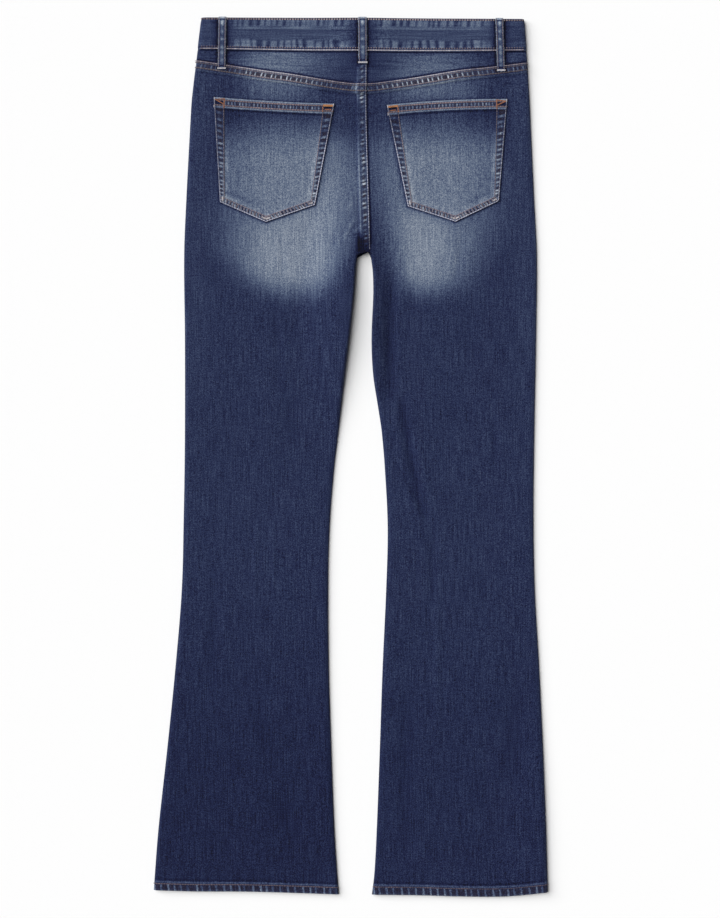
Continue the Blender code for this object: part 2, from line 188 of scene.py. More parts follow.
# Back pockets: corners in order round the pocket
BACK_POCKETS = {
    # top_left, top_right, low_right, tip, low_left
    "left": ((-174.4, 457.0), (-21.0, 448.4), (-45.6, 320.0), (-108.0, 298.2), (-166.6, 323.6)),
    "right": ((45.2, 446.8), (198.6, 454.4), (187.9, 324.9), (132.7, 298.6), (72.0, 318.2)),
}

# Belt loops: side of the garment, x at the top, x at the lower end, y of the lower end
BELT_LOOPS = {
    "belt_loop_back_left": ("back", -163.0, -164.2, 491.5),
    "belt_loop_back_centre": ("back", 14.5, 15.0, 498.5),
    "belt_loop_back_right": ("back", 188.0, 190.5, 489.0),
    "belt_loop_front_left": ("front", -98.0, -98.4, 488.0),
    "belt_loop_front_right": ("front", 128.0, 128.4, 488.0),
}
LOOP_WIDTH = 9.8
WIDE_LOOP = 10.9
LOOP_THICKNESS = 1.15
LOOP_STAND = 0.35
LOOP_PROUD = {"back": 0.9, "front": 0.15}
LOOP_TACK_HEIGHT = {"back": 2.15, "front": -1.0}

FLY_TOP = 492.0
FLY_FOOT = 345.0
ZIP_HEIGHT = 2.75
SHIELD_HEIGHT = 3.5
TEETH_HEIGHT = 2.55
TEETH_HALF = 1.3
FLY_ROW_TOP = 470.0
FLY_ROW_BEND = 395.0
FLY_ROW_REACH = 36.0
BUTTON_Y = 515.0

# Seams: half the width of a felled seam and how high it stands
YOKE_SEAM_HALF = 6.0
CENTRE_SEAM_HALF = 5.9
SEAM_RISE = 1.35
SEAM_SHOULDER = 1.5
SEAM_FADE = 16.0
SEAM_PUCKER = 0.16
HEM_DEPTH = {"left": 12.4, "right": 13.6}
HEM_RISE = 0.8
POCKET_HEM = 13.2
POCKET_SIDE = 133.0
POCKET_BOW = {"left": -1.2, "right": 2.2}

# Knots of light along the seams: their pitch, and where each seam's count starts so that none repeat
ROPE_PITCH = 6.4
HEM_ROPE_PITCH = 9.0
CENTRE_ROPE_START = 900.0
HEM_ROPE_START = 300.0

# Wash: tone runs from 0, raw indigo, to 1, bleached
TONE_THIGH = 0.258
TONE_ANKLE = {"left": 0.180, "right": 0.208}
TONE_UNWORN = 0.25
TONE_WEAR_SPAN = 0.4
KNEE_Y = -60.0
KNEE_TO_ANKLE = 430.0
FADE_PLACES = {
    # y, level, then the fade's inner edge and its softness, and its outer edge and softness
    "left": (
        (516.0, 0.58, 54.0, 108.0, 143.0, 48.0),
        (497.0, 0.62, 57.0, 108.0, 152.0, 60.0),
        (480.0, 0.57, 60.0, 80.0, 150.0, 50.0),
        (464.0, 0.50, 68.0, 60.0, 147.0, 46.0),
        (440.0, 0.46, 66.0, 90.0, 156.0, 50.0),
        (420.0, 0.50, 52.0, 110.0, 160.0, 56.0),
        (396.0, 0.68, 20.0, 104.0, 164.0, 60.0),
        (362.0, 0.72, 6.0, 112.0, 166.0, 66.0),
        (326.0, 0.75, 12.0, 94.0, 166.0, 90.0),
        (295.0, 0.79, 23.0, 88.0, 163.0, 112.0),
        (263.0, 0.83, 30.0, 66.0, 163.0, 100.0),
        (237.0, 0.81, 38.0, 50.0, 157.0, 90.0),
        (200.0, 0.75, 44.0, 46.0, 150.0, 84.0),
    ),
    "right": (
        (516.0, 0.42, 46.0, 86.0, 127.0, 70.0),
        (497.0, 0.57, 47.0, 68.0, 131.0, 96.0),
        (480.0, 0.56, 41.0, 72.0, 138.0, 80.0),
        (464.0, 0.53, 38.0, 80.0, 142.0, 64.0),
        (440.0, 0.47, 50.0, 90.0, 148.0, 64.0),
        (420.0, 0.50, 46.0, 110.0, 152.0, 70.0),
        (396.0, 0.66, 24.0, 116.0, 158.0, 76.0),
        (362.0, 0.71, 20.0, 120.0, 162.0, 84.0),
        (326.0, 0.73, 27.0, 106.0, 152.0, 120.0),
        (295.0, 0.79, 33.0, 62.0, 139.0, 140.0),
        (263.0, 0.83, 40.0, 58.0, 131.0, 120.0),
        (237.0, 0.81, 44.0, 50.0, 126.0, 106.0),
        (200.0, 0.74, 46.0, 46.0, 120.0, 100.0),
    ),
}
FADE_FOOT = {
    # y, distance from the centre seam, bow
    "left": (209.0, 80.0, 0.0028),
    "right": (211.0, 85.0, 0.0040),
}
FADE_FOOT_SOFT = 50.0
POCKET_FADE = (
    # y, level
    (457.0, 0.40),
    (431.0, 0.36),
    (418.0, 0.44),
    (400.0, 0.60),
    (380.0, 0.71),
    (298.0, 0.70),
)

# Creases on the back: ends, sideways bow, half width, depth (negative is a ridge), tone change, which is
# painted shade with unfaded cloth along a trough and worn lighter cloth along a ridge
BACK_CREASES = (
    # x0, y0, x1, y1, bow, width, depth, tone
    (51.0, 236.0, 51.0, 70.0, -1.5, 7.0, 2.0, -0.07),
    (64.0, 84.0, 98.0, -80.0, -5.0, 6.0, 1.9, -0.07),
    (56.0, -10.0, 97.0, -84.0, 4.0, 4.0, 1.1, -0.04),
    (99.0, -70.0, 104.0, -190.0, 3.0, 7.0, 0.7, -0.02),
    (113.0, -84.0, 111.0, -390.0, -3.0, 4.5, -0.5, 0.02),
    (-96.0, 190.0, -93.0, 84.0, 2.0, 5.0, 0.6, -0.02),
    (-74.0, 76.0, -62.0, 22.0, -6.0, 14.0, 0.9, -0.025),
    (-41.0, 150.0, -37.0, 96.0, 2.0, 5.0, 0.5, -0.015),
    (-119.0, -80.0, -121.0, -196.0, -2.0, 3.0, -0.45, 0.02),
    (-101.0, -84.0, -99.0, -178.0, 1.5, 3.0, -0.45, 0.02),
    (-176.0, -140.0, -178.0, -296.0, 3.0, 8.0, 0.7, -0.02),
    (-104.0, -424.0, -66.0, -492.0, 4.0, 12.0, 1.0, -0.03),
    (-118.0, -300.0, -96.0, -398.0, -5.0, 12.0, 0.8, -0.02),
    (75.0, -270.0, 72.0, -520.0, -3.0, 10.0, 0.8, -0.02),
    (204.0, -300.0, 207.0, -430.0, 4.0, 12.0, 0.7, -0.02),
    (179.0, 58.0, 183.0, -22.0, 2.0, 4.0, 0.5, -0.02),
    (150.0, 196.0, 158.0, 120.0, -3.0, 9.0, 0.5, -0.01),
    (5.7, 305.0, -9.0, 273.0, -1.5, 1.6, -0.5, 0.2),
    (1.0, 323.0, -6.5, 312.0, -0.5, 1.6, -0.4, 0.16),
    (11.0, 292.5, 3.4, 285.0, 0.5, 1.3, -0.4, 0.2),
    (-24.0, 286.0, -30.0, 244.0, 2.0, 5.0, 0.5, -0.02),
    (-87.0, 282.0, -89.0, 222.0, 1.0, 3.5, 0.4, -0.03),
    (140.0, 290.0, 131.0, 220.0, 3.0, 5.0, 0.5, -0.03),
)
# Creases on the front, at the hips, behind the knees and down the legs; their tone change is painted shade
# with unfaded cloth along each trough
FRONT_CREASES = (
    # x0, y0, x1, y1, bow, width, depth, tone
    (-30.0, 330.0, -120.0, 372.0, 6.0, 7.0, 0.9, -0.03),
    (-26.0, 300.0, -104.0, 326.0, 5.0, 6.0, 0.8, -0.03),
    (64.0, 330.0, 150.0, 370.0, -6.0, 7.0, 0.9, -0.03),
    (60.0, 296.0, 138.0, 330.0, -5.0, 6.0, 0.7, -0.03),
    (-60.0, 230.0, -70.0, 60.0, 6.0, 9.0, 1.0, -0.02),
    (98.0, 226.0, 108.0, 40.0, -6.0, 9.0, 1.0, -0.02),
    (-150.0, 10.0, -90.0, -30.0, 5.0, 8.0, 0.8, -0.02),
    (90.0, 0.0, 160.0, -36.0, -5.0, 8.0, 0.8, -0.02),
    (-120.0, -200.0, -130.0, -420.0, -5.0, 11.0, 0.8, -0.02),
    (140.0, -220.0, 150.0, -440.0, 5.0, 11.0, 0.8, -0.02),
)


# ---------------------------------------------------------------- shape rules


def smooth(t):
    """0 to 1 with level ends."""
    t = np.clip(t, 0.0, 1.0)
    return t * t * (3.0 - 2.0 * t)


def bell(t, width):
    return np.exp(-((t / width) ** 2))


def toward(value, target, share):
    return value + (target - value) * share


def coated(tone, *coats):
    """A tone after several coats, each a target tone and its share."""
    for target, share in coats:
        tone = toward(tone, target, share)
    return tone


def stacked(*axes):
    return np.stack(axes, axis=-1)


def inward_of(leg):
    return 1 if leg == "left" else -1


def column_of(leg):
    return 1 if leg == "left" else 2


def read(table, column, y):
    """Read a table whose first column is y, falling, by a smooth curve through its rows."""
    rows = np.array(table)[::-1]
    ys, vs = rows[:, 0], rows[:, column]
    last = len(ys) - 1
    low = np.maximum(np.arange(last + 1) - 1, 0)
    high = np.minimum(np.arange(last + 1) + 1, last)
    slope = (vs[high] - vs[low]) / (ys[high] - ys[low])
    y = np.clip(y, ys[0], ys[-1])
    i = np.clip(np.searchsorted(ys, y, side="right") - 1, 0, last - 1)
    span = ys[i + 1] - ys[i]
    t = (y - ys[i]) / span
    t2, t3 = t * t, t * t * t
    return (
        (2 * t3 - 3 * t2 + 1) * vs[i]
        + (t3 - 2 * t2 + t) * span * slope[i]
        + (3 * t2 - 2 * t3) * vs[i + 1]
        + (t3 - t2) * span * slope[i + 1]
    )


def centre_x(y):
    return read(CENTRE_SEAM, 1, y)


def fly_bump(x):
    return bell(x - FLY_X, FLY_REACH)


def waist_lift(y):
    return smooth((y - LIFT_START_Y) / (LIFT_END_Y - LIFT_START_Y))


def front_base(x, y):
    return waist_lift(y) * (FRONT_LIFT + FLY_FRONT_LIFT * fly_bump(x))


def swell(x, y):
    height = np.zeros_like(x + y)
    for x0, y0, reach_x, reach_y, rise in SWELLS:
        height = height + rise * smooth(1.0 - np.hypot((x - x0) / reach_x, (y - y0) / reach_y))
    return height


def back_top(x, y):
    return FLAT_HEIGHT + swell(x, y) + waist_lift(y) * (BACK_LIFT + FLY_BACK_LIFT * fly_bump(x))


def waist_y(x):
    t = (x - WAIST_LEFT[0]) / (WAIST_RIGHT[0] - WAIST_LEFT[0])
    return WAIST_LEFT[1] + (WAIST_RIGHT[1] - WAIST_LEFT[1]) * t


def front_dip(x):
    middle = (WAIST_LEFT[0] + WAIST_RIGHT[0]) / 2
    half = (WAIST_RIGHT[0] - WAIST_LEFT[0]) / 2
    return FRONT_DIP * smooth(1.0 - np.abs(x - middle) / half)


def band_top_y(x, side="back"):
    return waist_y(x) - (front_dip(x) if side == "front" else 0.0)


def band_seam_y(x, side="back"):
    sag = BAND_SAG * np.maximum(1.0 - ((x - BAND_SAG_X) / BAND_SAG_REACH) ** 2, 0.0)
    return band_top_y(x, side) - BAND_DEPTH - sag


def band_y(x, v, side):
    """Height on the garment of a place on the waistband, v up from its lower edge."""
    low = band_seam_y(x, side)
    return low + (band_top_y(x, side) - low) * v / BAND_DEPTH


def yoke_seam_y(x):
    return read(YOKE_SEAM, 1, x)


def side_x(leg, y):
    return read(SIDE_SEAM, column_of(leg), y)


def inside_x(leg, y):
    seam = centre_x(y) - inward_of(leg) * SEAM_GAP / 2
    return np.where(y >= FORK_Y, seam, read(INSIDE_LEG, column_of(leg), y))


def lapped_inside_x(leg, y, half):
    """The left half's inside edge runs on over the right half, down to the fork."""
    lap = smooth((y - FORK_Y + 4.0) / 2.4) * half
    return inside_x(leg, y) + (lap if leg == "left" else 0.0)


def hem_y(leg, x):
    low, high = side_x(leg, HEM_Y), inside_x(leg, HEM_Y)
    return read(HEM_EDGE, column_of(leg), (x - low) / (high - low))


def scoop_y(leg, x):
    seam = band_seam_y(x, "front")
    away = np.abs(x - side_x(leg, seam))
    dip = SCOOP_DEPTH * np.clip(1.0 - away / SCOOP_WIDTH, 0.0, 1.0) ** SCOOP_POWER
    return seam - dip


def inside_curl(y):
    return smooth((FORK_Y - y) / CURL_BLEND)


def inside_reach(y):
    """How far in the curl of the inside leg reaches: less beside the fork, where the cloth stands high."""
    return EDGE_CURL * (1 - 0.6 * bell(y - 185.0, 110.0))


def graded(low, high, marks, fine, coarse, reach):
    """Places from low to high, with fine steps near each mark and coarse ones away from them."""
    ruler = np.linspace(low, high, 3001)
    near = np.min([np.abs(ruler - mark) for mark in marks], axis=0)
    step = fine + (coarse - fine) * smooth((near - reach) / reach)
    count = np.concatenate([[0.0], np.cumsum(np.diff(ruler) * 2 / (step[1:] + step[:-1]))])
    return np.interp(np.linspace(0, count[-1], math.ceil(count[-1]) + 1), count, ruler)


def knots(start, end, period, width, seed):
    """Uneven puckers along a seam, as a function of the place along it."""
    rng = np.random.default_rng(seed)
    ruler = np.arange(start - period, end + period, 0.25)
    height = np.zeros_like(ruler)
    place = ruler[0]
    while place < ruler[-1]:
        one = rng.uniform(0.4, 1.0) * bell(ruler - place, width * rng.uniform(0.7, 1.3))
        height = np.maximum(height, one)
        place += period * rng.uniform(0.65, 1.35)
    return lambda s: np.interp(s, ruler, height)


# start, end, period, width and seed of each
BAND_LOW_KNOTS = knots(-220, 240, 9.2, 3.9, 7)
BAND_HIGH_KNOTS = knots(-220, 240, 8.4, 3.3, 8)
HEM_KNOTS = knots(-270, 270, 9.8, 0.9, 11)
SIDE_KNOTS = knots(-570, 540, 11.0, 3.0, 13)
POCKET_KNOTS = knots(-20, 180, 9.0, 2.1, 17)
POCKET_FOOT_KNOTS = knots(-20, 90, 4.2, 0.9, 19)
LOOP_KNOTS = knots(470, 570, 8.6, 2.3, 23)


def crease_height(table, x, y):
    """How far the cloth stands above (or below) its even surface, and how its tone changes: painted shade
    with unfaded cloth along a trough, worn lighter cloth along a ridge.
    """
    height, tone = np.zeros_like(x), np.zeros_like(x)
    for x0, y0, x1, y1, bow, width, depth, change in table:
        length = math.hypot(x1 - x0, y1 - y0)
        ax, ay = (x1 - x0) / length, (y1 - y0) / length
        t = ((x - x0) * ax + (y - y0) * ay) / length
        off = (x - x0) * -ay + (y - y0) * ax - bow * 4 * t * (1 - t)
        inside = np.clip(t * (1 - t) * 4, 0.0, 1.0) ** 0.6
        shape = bell(off, width) * inside
        swell = bell(np.abs(off) - 1.9 * width, 0.9 * width) * inside
        height += -depth * shape + 0.28 * depth * swell
        tone += change * shape
    return height, tone


def drift(x, y):
    """The slow unevenness of cloth that lies by itself."""
    return (
        0.16 * np.sin(x / 21.0 + 1.3 * np.sin(y / 95.0))
        + 0.14 * np.sin(y / 47.0 + 1.7 * np.sin(x / 60.0))
        + 0.10 * np.sin(x / 11.0 - y / 70.0)
    )


def back_relief(x, y):
    return crease_height(BACK_CREASES, x, y)[0] + drift(x, y)


def yoke_line(x, y):
    return y - yoke_seam_y(x)


def centre_line(x, y):
    return x - centre_x(y)


def ridge(t, half):
    return smooth((half + SEAM_SHOULDER + t) / SEAM_SHOULDER)


def centre_fade_in(y):
    return smooth((y - FORK_Y) / SEAM_FADE)


def seam_pucker(x, y):
    """Slow ripples that the stitching draws into the felled seams and just beside them."""
    t, d = yoke_line(x, y), centre_line(x, y)
    yoke = bell(t / YOKE_SEAM_HALF, 1.3) * SEAM_PUCKER * np.sin(x / 2.3 + 2.0 * np.sin(x / 17.0))
    centre = bell(d / CENTRE_SEAM_HALF, 1.3) * SEAM_PUCKER * np.sin(y / 2.6 + 2.0 * np.sin(y / 19.0))
    return yoke + centre * centre_fade_in(y)


def back_rise(leg, part, x, y):
    """Extra height of a back panel or yoke where the felled seams stack the cloth."""
    t = yoke_line(x, y)
    if part == "back":
        rise = over_yoke = ridge(t, YOKE_SEAM_HALF)
    else:
        over_yoke = smooth((YOKE_SEAM_HALF + SEAM_SHOULDER - t) / SEAM_SHOULDER)
        rise = 0.0 * x
    if leg == "left":
        over_right = ridge(centre_line(x, y), CENTRE_SEAM_HALF) * centre_fade_in(y)
        rise = rise + over_right * (1 + over_yoke)
    return SEAM_RISE * rise + seam_pucker(x, y)


def side_drop(leg, x, y):
    """How far the back face curls down near the side seam, and near the inside leg below the fork."""
    inward = inward_of(leg)
    half = (back_top(x, y) - front_base(x, y) - SEAM_GAP) / 2
    drop = np.zeros_like(x)
    outside = inward * (x - side_x(leg, y)) / EDGE_CURL
    inside = inward * (inside_x(leg, y) - x) / inside_reach(y)
    for edge, curl in ((outside, 1.0), (inside, inside_curl(y))):
        turned = 1 - np.clip(1 - edge, 0.0, 1.0) ** 2
        drop += curl * half * (1 - np.sqrt(np.clip(turned, 0.0, 1.0)))
    return drop


def hem_rise(leg, x, y):
    h = y - hem_y(leg, x)
    pucker = 0.35 * (HEM_KNOTS(x + 0.25 * h) - 0.3) * bell(h - 4.0, 4.5)
    return HEM_RISE * smooth((HEM_DEPTH[leg] + 0.6 - h) / 1.2) + pucker


def back_surface(x, y):
    """Height of the outermost back cloth at any place: panels, yokes and their seams."""
    leg_left = np.where(y > FORK_Y, centre_line(x, y) < CENTRE_SEAM_HALF, x < centre_x(y))
    on_panel = yoke_line(x, y) < YOKE_SEAM_HALF
    height = back_top(x, y) + back_relief(x, y)
    for leg in LEGS:
        mine = leg_left if leg == "left" else ~leg_left
        part = np.where(on_panel, back_rise(leg, "back", x, y), back_rise(leg, "yoke", x, y))
        height = height + np.where(mine, part + hem_rise(leg, x, y) - side_drop(leg, x, y), 0.0)
    return height


# ---------------------------------------------------------------- wash and painted shade


def fade_tone(leg, x, y):
    """Tone of a back half: indigo legs, bleached seat and thigh."""
    d = np.abs(centre_line(x, y))
    table = FADE_PLACES[leg]
    level, inner, inner_soft, outer, outer_soft = (read(table, column, y) for column in range(1, 6))
    foot_y, foot_from, foot_bow = FADE_FOOT[leg]
    foot = foot_y + foot_bow * (d - foot_from) ** 2
    cover = smooth((d - inner) / inner_soft + 0.5) * smooth((outer - d) / outer_soft + 0.5)
    cover = cover * smooth((y - foot) / FADE_FOOT_SOFT + 0.5)
    ground = TONE_THIGH - (TONE_THIGH - TONE_ANKLE[leg]) * smooth((KNEE_Y - y) / KNEE_TO_ANKLE)
    side = np.abs(x - side_x(leg, y))
    ground = ground + 0.04 * bell(side - 14.0, 16.0) * smooth((y - KNEE_Y) / 300.0)
    return toward(ground, level, cover)


def wear_of(tone):
    """How worn the cloth is, from 0 to 1, by its tone."""
    return np.clip((tone - TONE_UNWORN) / TONE_WEAR_SPAN, 0.0, 1.0)


def washed(tone, rope=0.0, run=0.0, breadth=0.2):
    """Paint for the cloth: tone, which carries painted shade and shadow lines as well as the wash, strength
    of the light knots, place along their row, their breadth.
    """
    return stacked(*np.broadcast_arrays(tone, rope, run, breadth))


def felled_tone(tone, t, half, ledge, strength):
    """Wear and painted shade over a felled seam: dark between the rows, a bright fold with its painted
    shadow, a worn ledge with painted shade just below it.
    """
    tone = coated(
        tone,
        # between the rows, the fold, the ledge, the fold's shadow
        (0.24 + 0.18 * strength, 0.95 * smooth((half + 0.3 - np.abs(t)) / 0.9)),
        (0.40 + 0.35 * strength, bell(t - half + 0.6, 1.0) * 0.85),
        (0.30 + 0.78 * strength, bell(t + ledge, 1.0) * 0.9),
        (0.02, bell(t - half - 1.4, 1.2) * 0.9),
    )
    # painted shade just below the ledge
    return tone - 0.07 * bell(t + ledge + 2.2, 1.2)


def loop_width(x_top):
    return WIDE_LOOP if abs(x_top - FLY_X) < 5.0 else LOOP_WIDTH


def loop_shade(x, y, reach):
    """Unfaded cloth with painted shade beside and under the belt loops, and a painted shadow line along
    their edges.
    """
    shade, line = np.zeros_like(x + y), np.zeros_like(x + y)
    for side, x_top, x_low, y_low in BELT_LOOPS.values():
        if side == "back":
            t = (y - y_low) / (waist_y(x_top) - y_low)
            beside = np.abs(x - (x_low + (x_top - x_low) * t)) - loop_width(x_top) / 2
            below = smooth((4.0 - y_low + y) / 4.0)
            span = reach * (1.8 if loop_width(x_top) == WIDE_LOOP else 1.0)
            shade = np.maximum(shade, smooth((span - beside) / span) * below)
            line = np.maximum(line, bell(beside - 0.9, 2.0) * below)
    return shade, line


def shaded(tone, x, y, reach=9.0):
    shade, line = loop_shade(x, y, reach)
    # unfaded cloth with painted shade beside the belt loops, then a painted shadow line along their edges
    return coated(tone, (0.17, 0.8 * shade), (0.0, 0.95 * line))


def pocket_edges(leg):
    """The pocket's five edges: a start, the way along, the way in and the length."""
    corners = np.array(BACK_POCKETS[leg])
    middle = corners.mean(axis=0)
    edges = []
    for start, end in zip(corners, np.roll(corners, -1, axis=0)):
        along = (end - start) / np.hypot(*(end - start))
        into = np.array((-along[1], along[0]))
        if into @ (middle - start) < 0:
            into = -into
        edges.append((start, along, into, float(np.hypot(*(end - start)))))
    return edges


def pocket_bow(leg, share):
    """How far the pocket's top edge stands above the straight line between its corners."""
    share = np.clip(share, 0.0, 1.0)
    return POCKET_BOW[leg] * 4 * share * (1 - share)


def pocket_depths(leg, x, y):
    """For each edge of the pocket, how far inside it a place is, and how far along."""
    found = []
    for k, (start, along, into, length) in enumerate(pocket_edges(leg)):
        dx, dy = x - start[0], y - start[1]
        run = dx * along[0] + dy * along[1]
        bow = pocket_bow(leg, run / length) if k == 0 else 0.0
        found.append((dx * into[0] + dy * into[1] + bow, run, length))
    return found


def trouser_hem_tone(tone, h, deep):
    """Wash of a trouser hem by the height above its edge: a worn fold and edge, thin marks between."""
    tone = coated(
        tone,
        # the shadow above the fold, the fold, the hem itself, its edge
        (0.09, bell(h - deep - 1.5, 1.4) * 0.85),
        (0.50, bell(h - deep + 1.3, 1.1) * 0.85),
        (0.16, 0.85 * smooth((deep - 2.6 - h) / 1.2)),
        (0.46, 0.75 * bell(h, 1.7)),
    )
    return tone, 0.36 * smooth((deep - HEM_ROW_DROP - h) / 1.5)


def side_wear(leg, x, y):
    """The light knots down the side seam, as a coat."""
    side = np.abs(x - side_x(leg, y))
    return 0.36, bell(side - 1.5, 1.6) * (0.2 + 0.3 * SIDE_KNOTS(y))


def centre_wear(y):
    """How worn the centre seam is down its length."""
    seat = smooth((424.0 - y) / 60.0) * smooth((y - 258.0) / 60.0)
    return 0.25 + 0.5 * seat + 0.45 * bell(y - 464.0, 10.0) - 0.16 * bell(y - 436.0, 16.0)


def panel_tone(leg, x, y):
    """Wash of the back panels and yokes with all their seams."""
    tone = fade_tone(leg, x, y) + crease_height(BACK_CREASES, x, y)[1]
    strength = wear_of(tone)
    depth = np.min([found[0] for found in pocket_depths(leg, x, y)], axis=0)
    tone = tone - 0.08 * smooth((14.0 + depth) / 14.0) * strength
    # a painted shadow on the panel just outside the pocket's edge
    tone = toward(tone, 0.10, 0.8 * smooth((3.0 + depth) / 3.0))
    tone = tone - 0.06 * bell(x + 32.0, 26.0) * smooth((300.0 - y) / 30.0) * smooth((y - 195.0) / 30.0)
    t, d, seen = yoke_line(x, y), centre_line(x, y), centre_fade_in(y)
    worn = centre_wear(y)
    tone = toward(tone, felled_tone(tone, d, CENTRE_SEAM_HALF, 5.2, worn - 0.05), seen)
    blotchy = 0.66 + 0.34 * np.sin(y / 3.1 + 2.4 * np.sin(y / 13.0))
    centre_rope = (0.34 + 0.92 * worn) * blotchy * bell(d - 0.5 - 0.5 * np.sin(y / 5.3), 2.4) * seen
    tone = felled_tone(tone, t, YOKE_SEAM_HALF, 6.0, 0.08 + 0.92 * strength)
    yoke_rope = (0.26 + 0.80 * strength) * bell(t + 0.3, 3.0)
    tone = coated(
        tone,
        # the lump where the seams cross, the shadow under the waistband
        (0.78, 0.9 * bell(x - 6.0, 3.0) * bell(y - 468.0, 6.0)),
        (0.02, bell(band_seam_y(x) - y + 0.1, 1.3) * 0.9),
    )
    end = smooth((289.0 - y) / 16.0) * smooth((y - 247.0) / 8.0)
    tone = coated(
        shaded(tone, x, y),
        # painted shade at the end of the centre seam above the fork, and a painted shadow line in the
        # crevice beside it
        (0.04, 0.9 * end * smooth((9.0 - np.abs(x - 17.5)) / 2.5)),
        (0.0, 0.95 * end * bell(x - 9.6, 3.2)),
    )
    h = y - hem_y(leg, x)
    tone, hem_rope = trouser_hem_tone(tone, h, HEM_DEPTH[leg])
    tone = coated(tone, side_wear(leg, x, y))
    rope = np.maximum(np.maximum(centre_rope, yoke_rope), hem_rope)
    by_yoke, by_hem = yoke_rope >= centre_rope, h < HEM_DEPTH[leg]
    on_yoke = (x - inward_of(leg) * 0.3 * t) / ROPE_PITCH
    on_centre = (y - 0.3 * d + 1.2 * np.sin(y / 9.0)) / ROPE_PITCH + CENTRE_ROPE_START
    run = np.where(by_hem, hem_run(x, h) + HEM_ROPE_START, np.where(by_yoke, on_yoke, on_centre))
    return washed(tone, rope, run, np.where(by_yoke | by_hem, 0.22, 0.34))


def hem_run(x, h):
    return (x + 0.12 * h) / HEM_ROPE_PITCH


def front_tone(leg, x, y):
    """Tone of a front panel: a soft fade down the thigh, indigo at the knee and below."""
    middle = (side_x(leg, y) + inside_x(leg, y)) / 2
    thigh = bell(x - middle, 58.0) * smooth((y + 120.0) / 260.0) * smooth((470.0 - y) / 90.0)
    tone = toward(TONE_THIGH - 0.06 * smooth((KNEE_Y - y) / KNEE_TO_ANKLE), 0.66, thigh)
    tone = tone + crease_height(FRONT_CREASES, x, y)[1]
    seam = felled_tone(tone, centre_line(x, y), FRONT_SEAM_HALF, 3.6, 0.4)
    lip = scoop_y(leg, x) - y
    tone = coated(
        tone,
        # the centre seam, the lip of the pocket mouth, the knots below it
        (seam, centre_fade_in(y)),
        (0.60, bell(lip - 0.6, 1.0) * 0.7),
        (0.44, 0.5 * POCKET_KNOTS(np.abs(x - side_x(leg, y))) * bell(lip - 4.5, 2.2)),
    )
    h = y - hem_y(leg, x)
    tone, hem_rope = trouser_hem_tone(tone, h, HEM_DEPTH[leg])
    return washed(coated(tone, side_wear(leg, x, y)), hem_rope, hem_run(x, h))


# ---------------------------------------------------------------- meshes


CLOTH_CREASE_ANGLE = 50
METAL_CREASE_ANGLE = 35


def placed(name, data):
    """A new object in the scene, with this mesh, light or camera."""
    made = bpy.data.objects.new(name, data)
    bpy.context.scene.collection.objects.link(made)
    return made


def paint_points(mesh, name, kind, key, values):
    mesh.attributes.new(name, kind, "POINT").data.foreach_set(key, np.asarray(values, np.float32).ravel())


def smoothed(mesh, angle, material):
    mesh.shade_smooth()
    mesh.set_sharp_from_angle(angle=math.radians(angle))
    mesh.materials.append(material)


def solid_from(name, points, faces, tone, material):
    """A closed mesh from points in millimetres, its faces turned outwards, with its wash on the points."""
    corners = [np.asarray(block, np.int32) for block in faces]
    volume = 0.0
    for block in corners:
        a = points[block[:, 0]]
        for k in range(1, block.shape[1] - 1):
            b, c = points[block[:, k]], points[block[:, k + 1]]
            volume += np.einsum("ij,ij->i", a, np.cross(b, c)).sum()
    if volume < 0:
        corners = [block[:, ::-1] for block in corners]
    sizes = np.concatenate([np.full(len(block), block.shape[1], np.int32) for block in corners])
    starts = np.concatenate([[0], np.cumsum(sizes)[:-1]]).astype(np.int32)
    mesh = bpy.data.meshes.new(name)
    mesh.vertices.add(len(points))
    mesh.vertices.foreach_set("co", (points * MM).astype(np.float32).ravel())
    mesh.loops.add(int(sizes.sum()))
    mesh.loops.foreach_set("vertex_index", np.concatenate([block.ravel() for block in corners]))
    mesh.polygons.add(len(sizes))
    mesh.polygons.foreach_set("loop_start", starts)
    mesh.update(calc_edges=True)
    if mesh.validate():
        raise RuntimeError(f"{name} has faults in its mesh")
    # the wash attribute carries painted shade and shadow lines as well as the wash
    paint_points(mesh, "wash", "FLOAT_VECTOR", "vector", tone[:, :3])
    paint_points(mesh, "breadth", "FLOAT", "value", tone[:, 3])
    smoothed(mesh, CLOTH_CREASE_ANGLE, material)
    return placed(name, mesh)


def grid_faces(*corners):
    """Faces from equal grids of corner indices."""
    return stacked(*corners).reshape(-1, len(corners))


def shell(name, outer, inner, tone, material):
    """A wall between two equal grids of points (rows, columns, xyz), closed round its rim."""
    rows, columns = outer.shape[:2]
    index = np.arange(rows * columns).reshape(rows, columns)
    under = index + rows * columns
    faces = [
        grid_faces(index[:-1, :-1], index[:-1, 1:], index[1:, 1:], index[1:, :-1]),
        grid_faces(under[:-1, :-1], under[1:, :-1], under[1:, 1:], under[:-1, 1:]),
        grid_faces(index[0, :-1], under[0, :-1], under[0, 1:], index[0, 1:]),
        grid_faces(index[-1, :-1], index[-1, 1:], under[-1, 1:], under[-1, :-1]),
        grid_faces(index[:-1, 0], index[1:, 0], under[1:, 0], under[:-1, 0]),
        grid_faces(index[:-1, -1], under[:-1, -1], under[1:, -1], index[1:, -1]),
    ]
    points = np.concatenate([outer.reshape(-1, 3), inner.reshape(-1, 3)])
    tone = np.concatenate([tone.reshape(-1, 4)] * 2)
    return solid_from(name, points, [np.concatenate(faces)], tone, material)


def dress(piece, stands_for):
    """Tie a finished piece to the frame: its body, and the node it stands for."""
    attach(piece, "root")
    if stands_for:
        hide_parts(stands_for)
    return piece


def lay(name, stands_for, slot, outer, inner, tone, material, rests_on):
    """A dressed cloth piece between its outer and inner grids."""
    piece = dress(shell(name, outer, inner, tone, material), stands_for)
    return piece


# ---------------------------------------------------------------- node helpers


